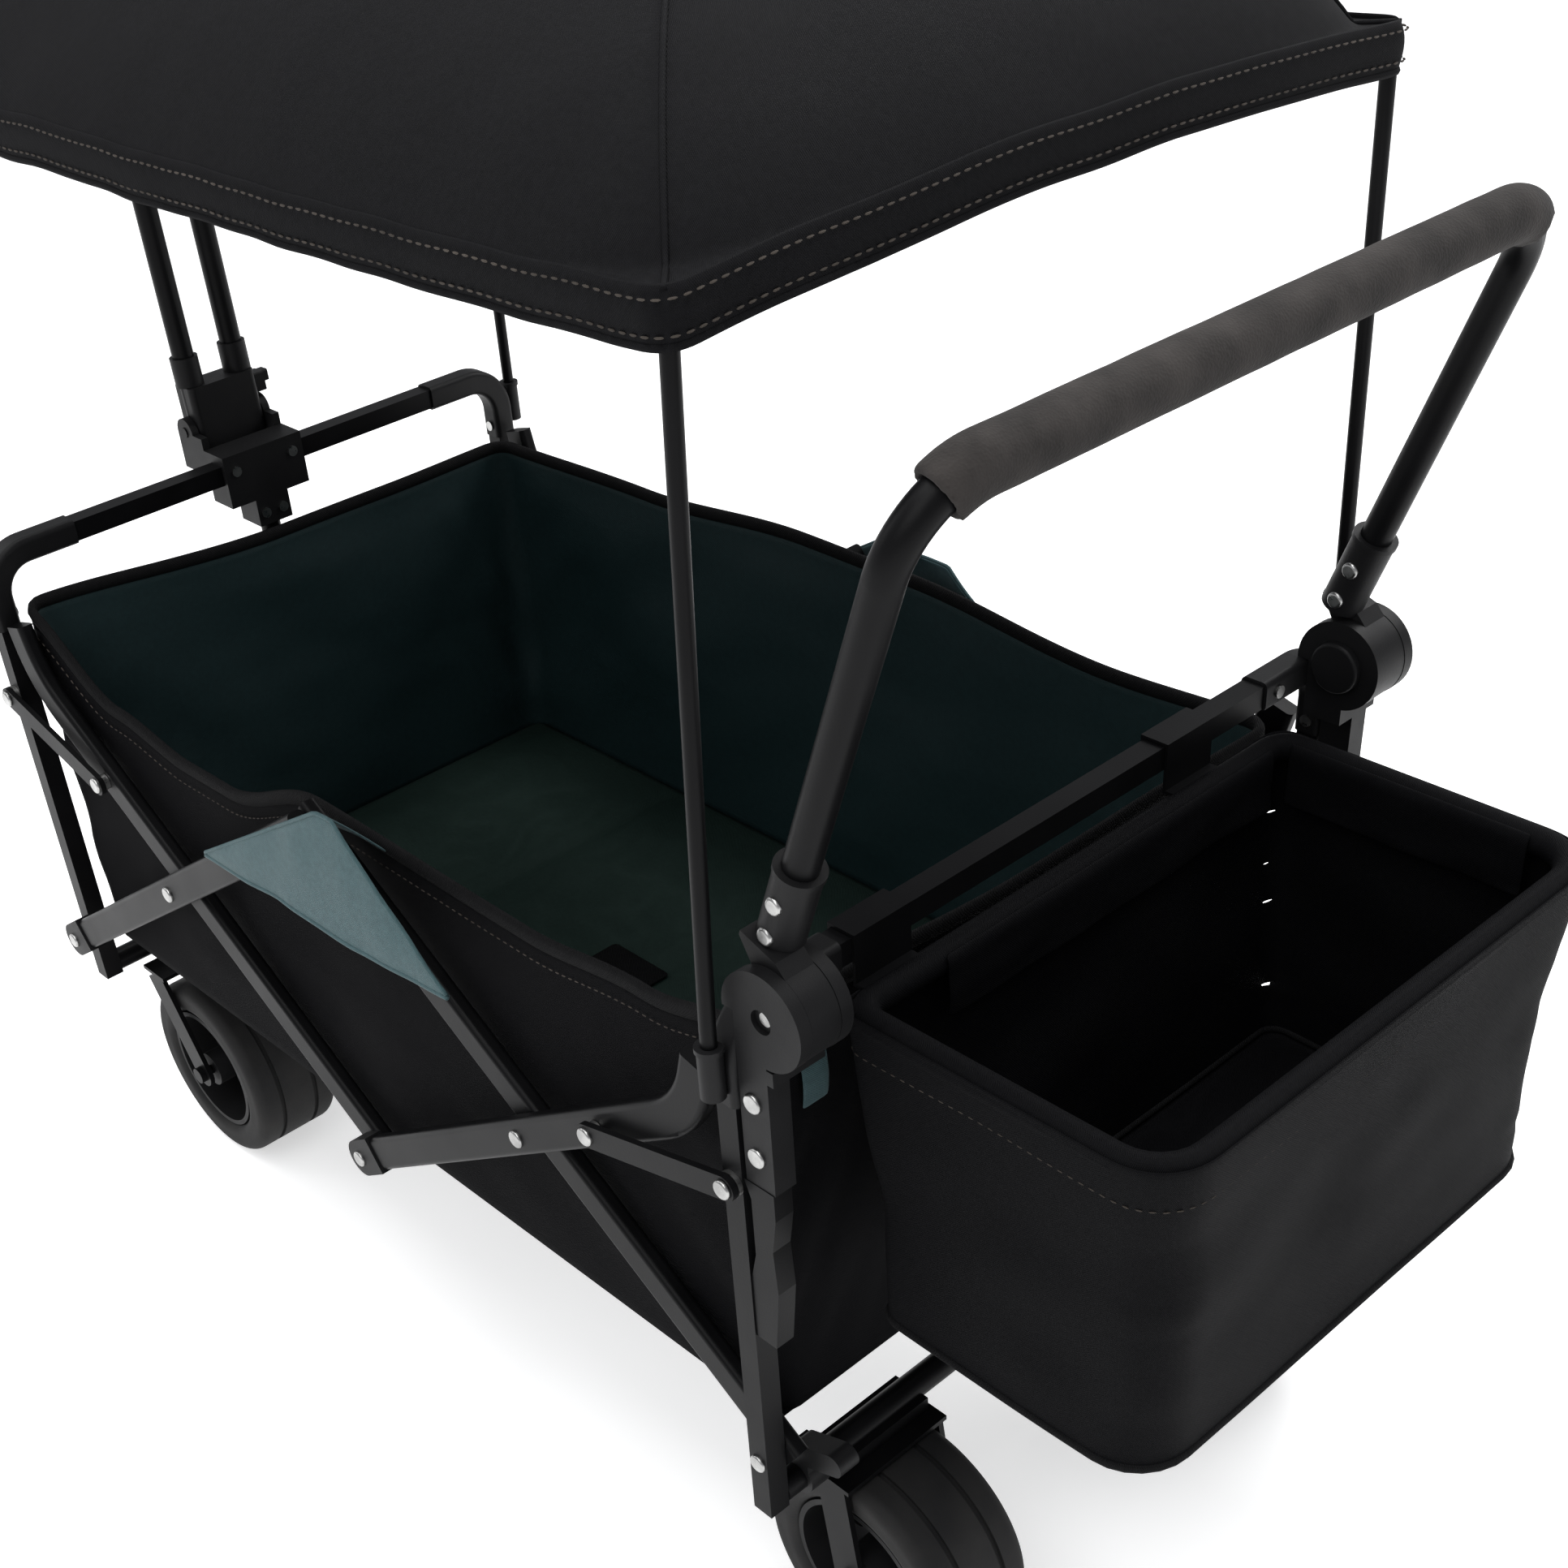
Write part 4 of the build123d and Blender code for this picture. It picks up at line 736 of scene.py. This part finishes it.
# ------------------------------------------------------------------ foam grip and small trim
def make_grip():
    source = frame["nodes"]["push_handle_grip"]
    grip = source.copy()
    grip.data = source.data.copy()
    grip.parent = None
    grip.name = "foam_sleeve"
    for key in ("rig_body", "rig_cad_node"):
        if key in grip:
            del grip[key]
    bpy.context.scene.collection.objects.link(grip)
    remesh = grip.modifiers.new("remesh", "REMESH")
    remesh.mode = "VOXEL"
    remesh.voxel_size = 0.002
    soften = grip.modifiers.new("soften", "SMOOTH")
    soften.factor = 0.6
    soften.iterations = 4
    bake(grip)
    for v in grip.data.vertices:
        v.co += v.normal * (noise.noise(v.co * 45) * 0.0002)
    paint(grip, FOAM)
    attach(grip, "push_handle")
    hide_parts("push_handle_grip")


make_tub()
make_mat()
make_pockets()
make_tab()
make_canopy()
make_basket()
make_grip()


# ------------------------------------------------------------------ floor, light and camera
def make_floor():
    mesh = bpy.data.meshes.new("floor")
    bm = bmesh.new()
    bmesh.ops.create_grid(bm, x_segments=1, y_segments=1, size=12)
    bm.to_mesh(mesh)
    bm.free()
    floor = bpy.data.objects.new("floor", mesh)
    bpy.context.scene.collection.objects.link(floor)
    mat, _, _ = new_material(
        "floor_pale", (0.86, 0.86, 0.86), 0.85, Emission_Color=(1, 1, 1, 1), Emission_Strength=0.55)
    paint(floor, mat)


def area_light(name, place, size, power, target=(0, 0, 0.4)):
    light = bpy.data.lights.new(name, "AREA")
    light.shape = "RECTANGLE"
    light.size, light.size_y = size
    light.energy = power
    obj = bpy.data.objects.new(name, light)
    obj.location = place
    obj.rotation_euler = (Vector(target) - Vector(place)).to_track_quat("-Z", "Y").to_euler()
    bpy.context.scene.collection.objects.link(obj)


def make_camera():
    azimuth, height, roll = math.radians(50.1), math.radians(37.9), math.radians(-4.96)
    back = Vector((
        math.sin(azimuth) * math.cos(height), -math.cos(azimuth) * math.cos(height), math.sin(height)))
    right = Vector((0, 0, 1)).cross(back).normalized()
    up = back.cross(right)
    right_r = right * math.cos(roll) + up * math.sin(roll)
    up_r = up * math.cos(roll) - right * math.sin(roll)
    place = Vector((MID_X + 0.0458, 0.0548, 0.1313)) + back * 1.6838
    camera = bpy.data.objects.new("camera", bpy.data.cameras.new("camera"))
    axes = Matrix((right_r, up_r, back)).transposed().to_4x4()
    camera.matrix_world = Matrix.Translation(place) @ axes
    camera.data.sensor_width = 36
    camera.data.lens = 48.85
    camera.data.shift_x = 0.0314
    camera.data.shift_y = 0.1831
    bpy.context.scene.collection.objects.link(camera)
    bpy.context.scene.camera = camera


make_floor()
area_light("key", (1.2, -2.6, 3.2), (2.4, 2.4), 40)
area_light("fill", (-2.8, -1.2, 2.2), (2.6, 2.0), 22)
area_light("rim", (0.4, 2.8, 2.6), (2.8, 1.6), 60)
area_light("top", (0, 0, 3.6), (3.0, 3.0), 110, (0, 0, 0))
world = bpy.data.worlds.new("world")
world.use_nodes = True
world.node_tree.nodes["Background"].inputs["Color"].default_value = (0.95, 0.96, 1.0, 1)
world.node_tree.nodes["Background"].inputs["Strength"].default_value = 0.4
bpy.context.scene.world = world
bpy.context.scene.view_settings.view_transform = "Standard"
make_camera()
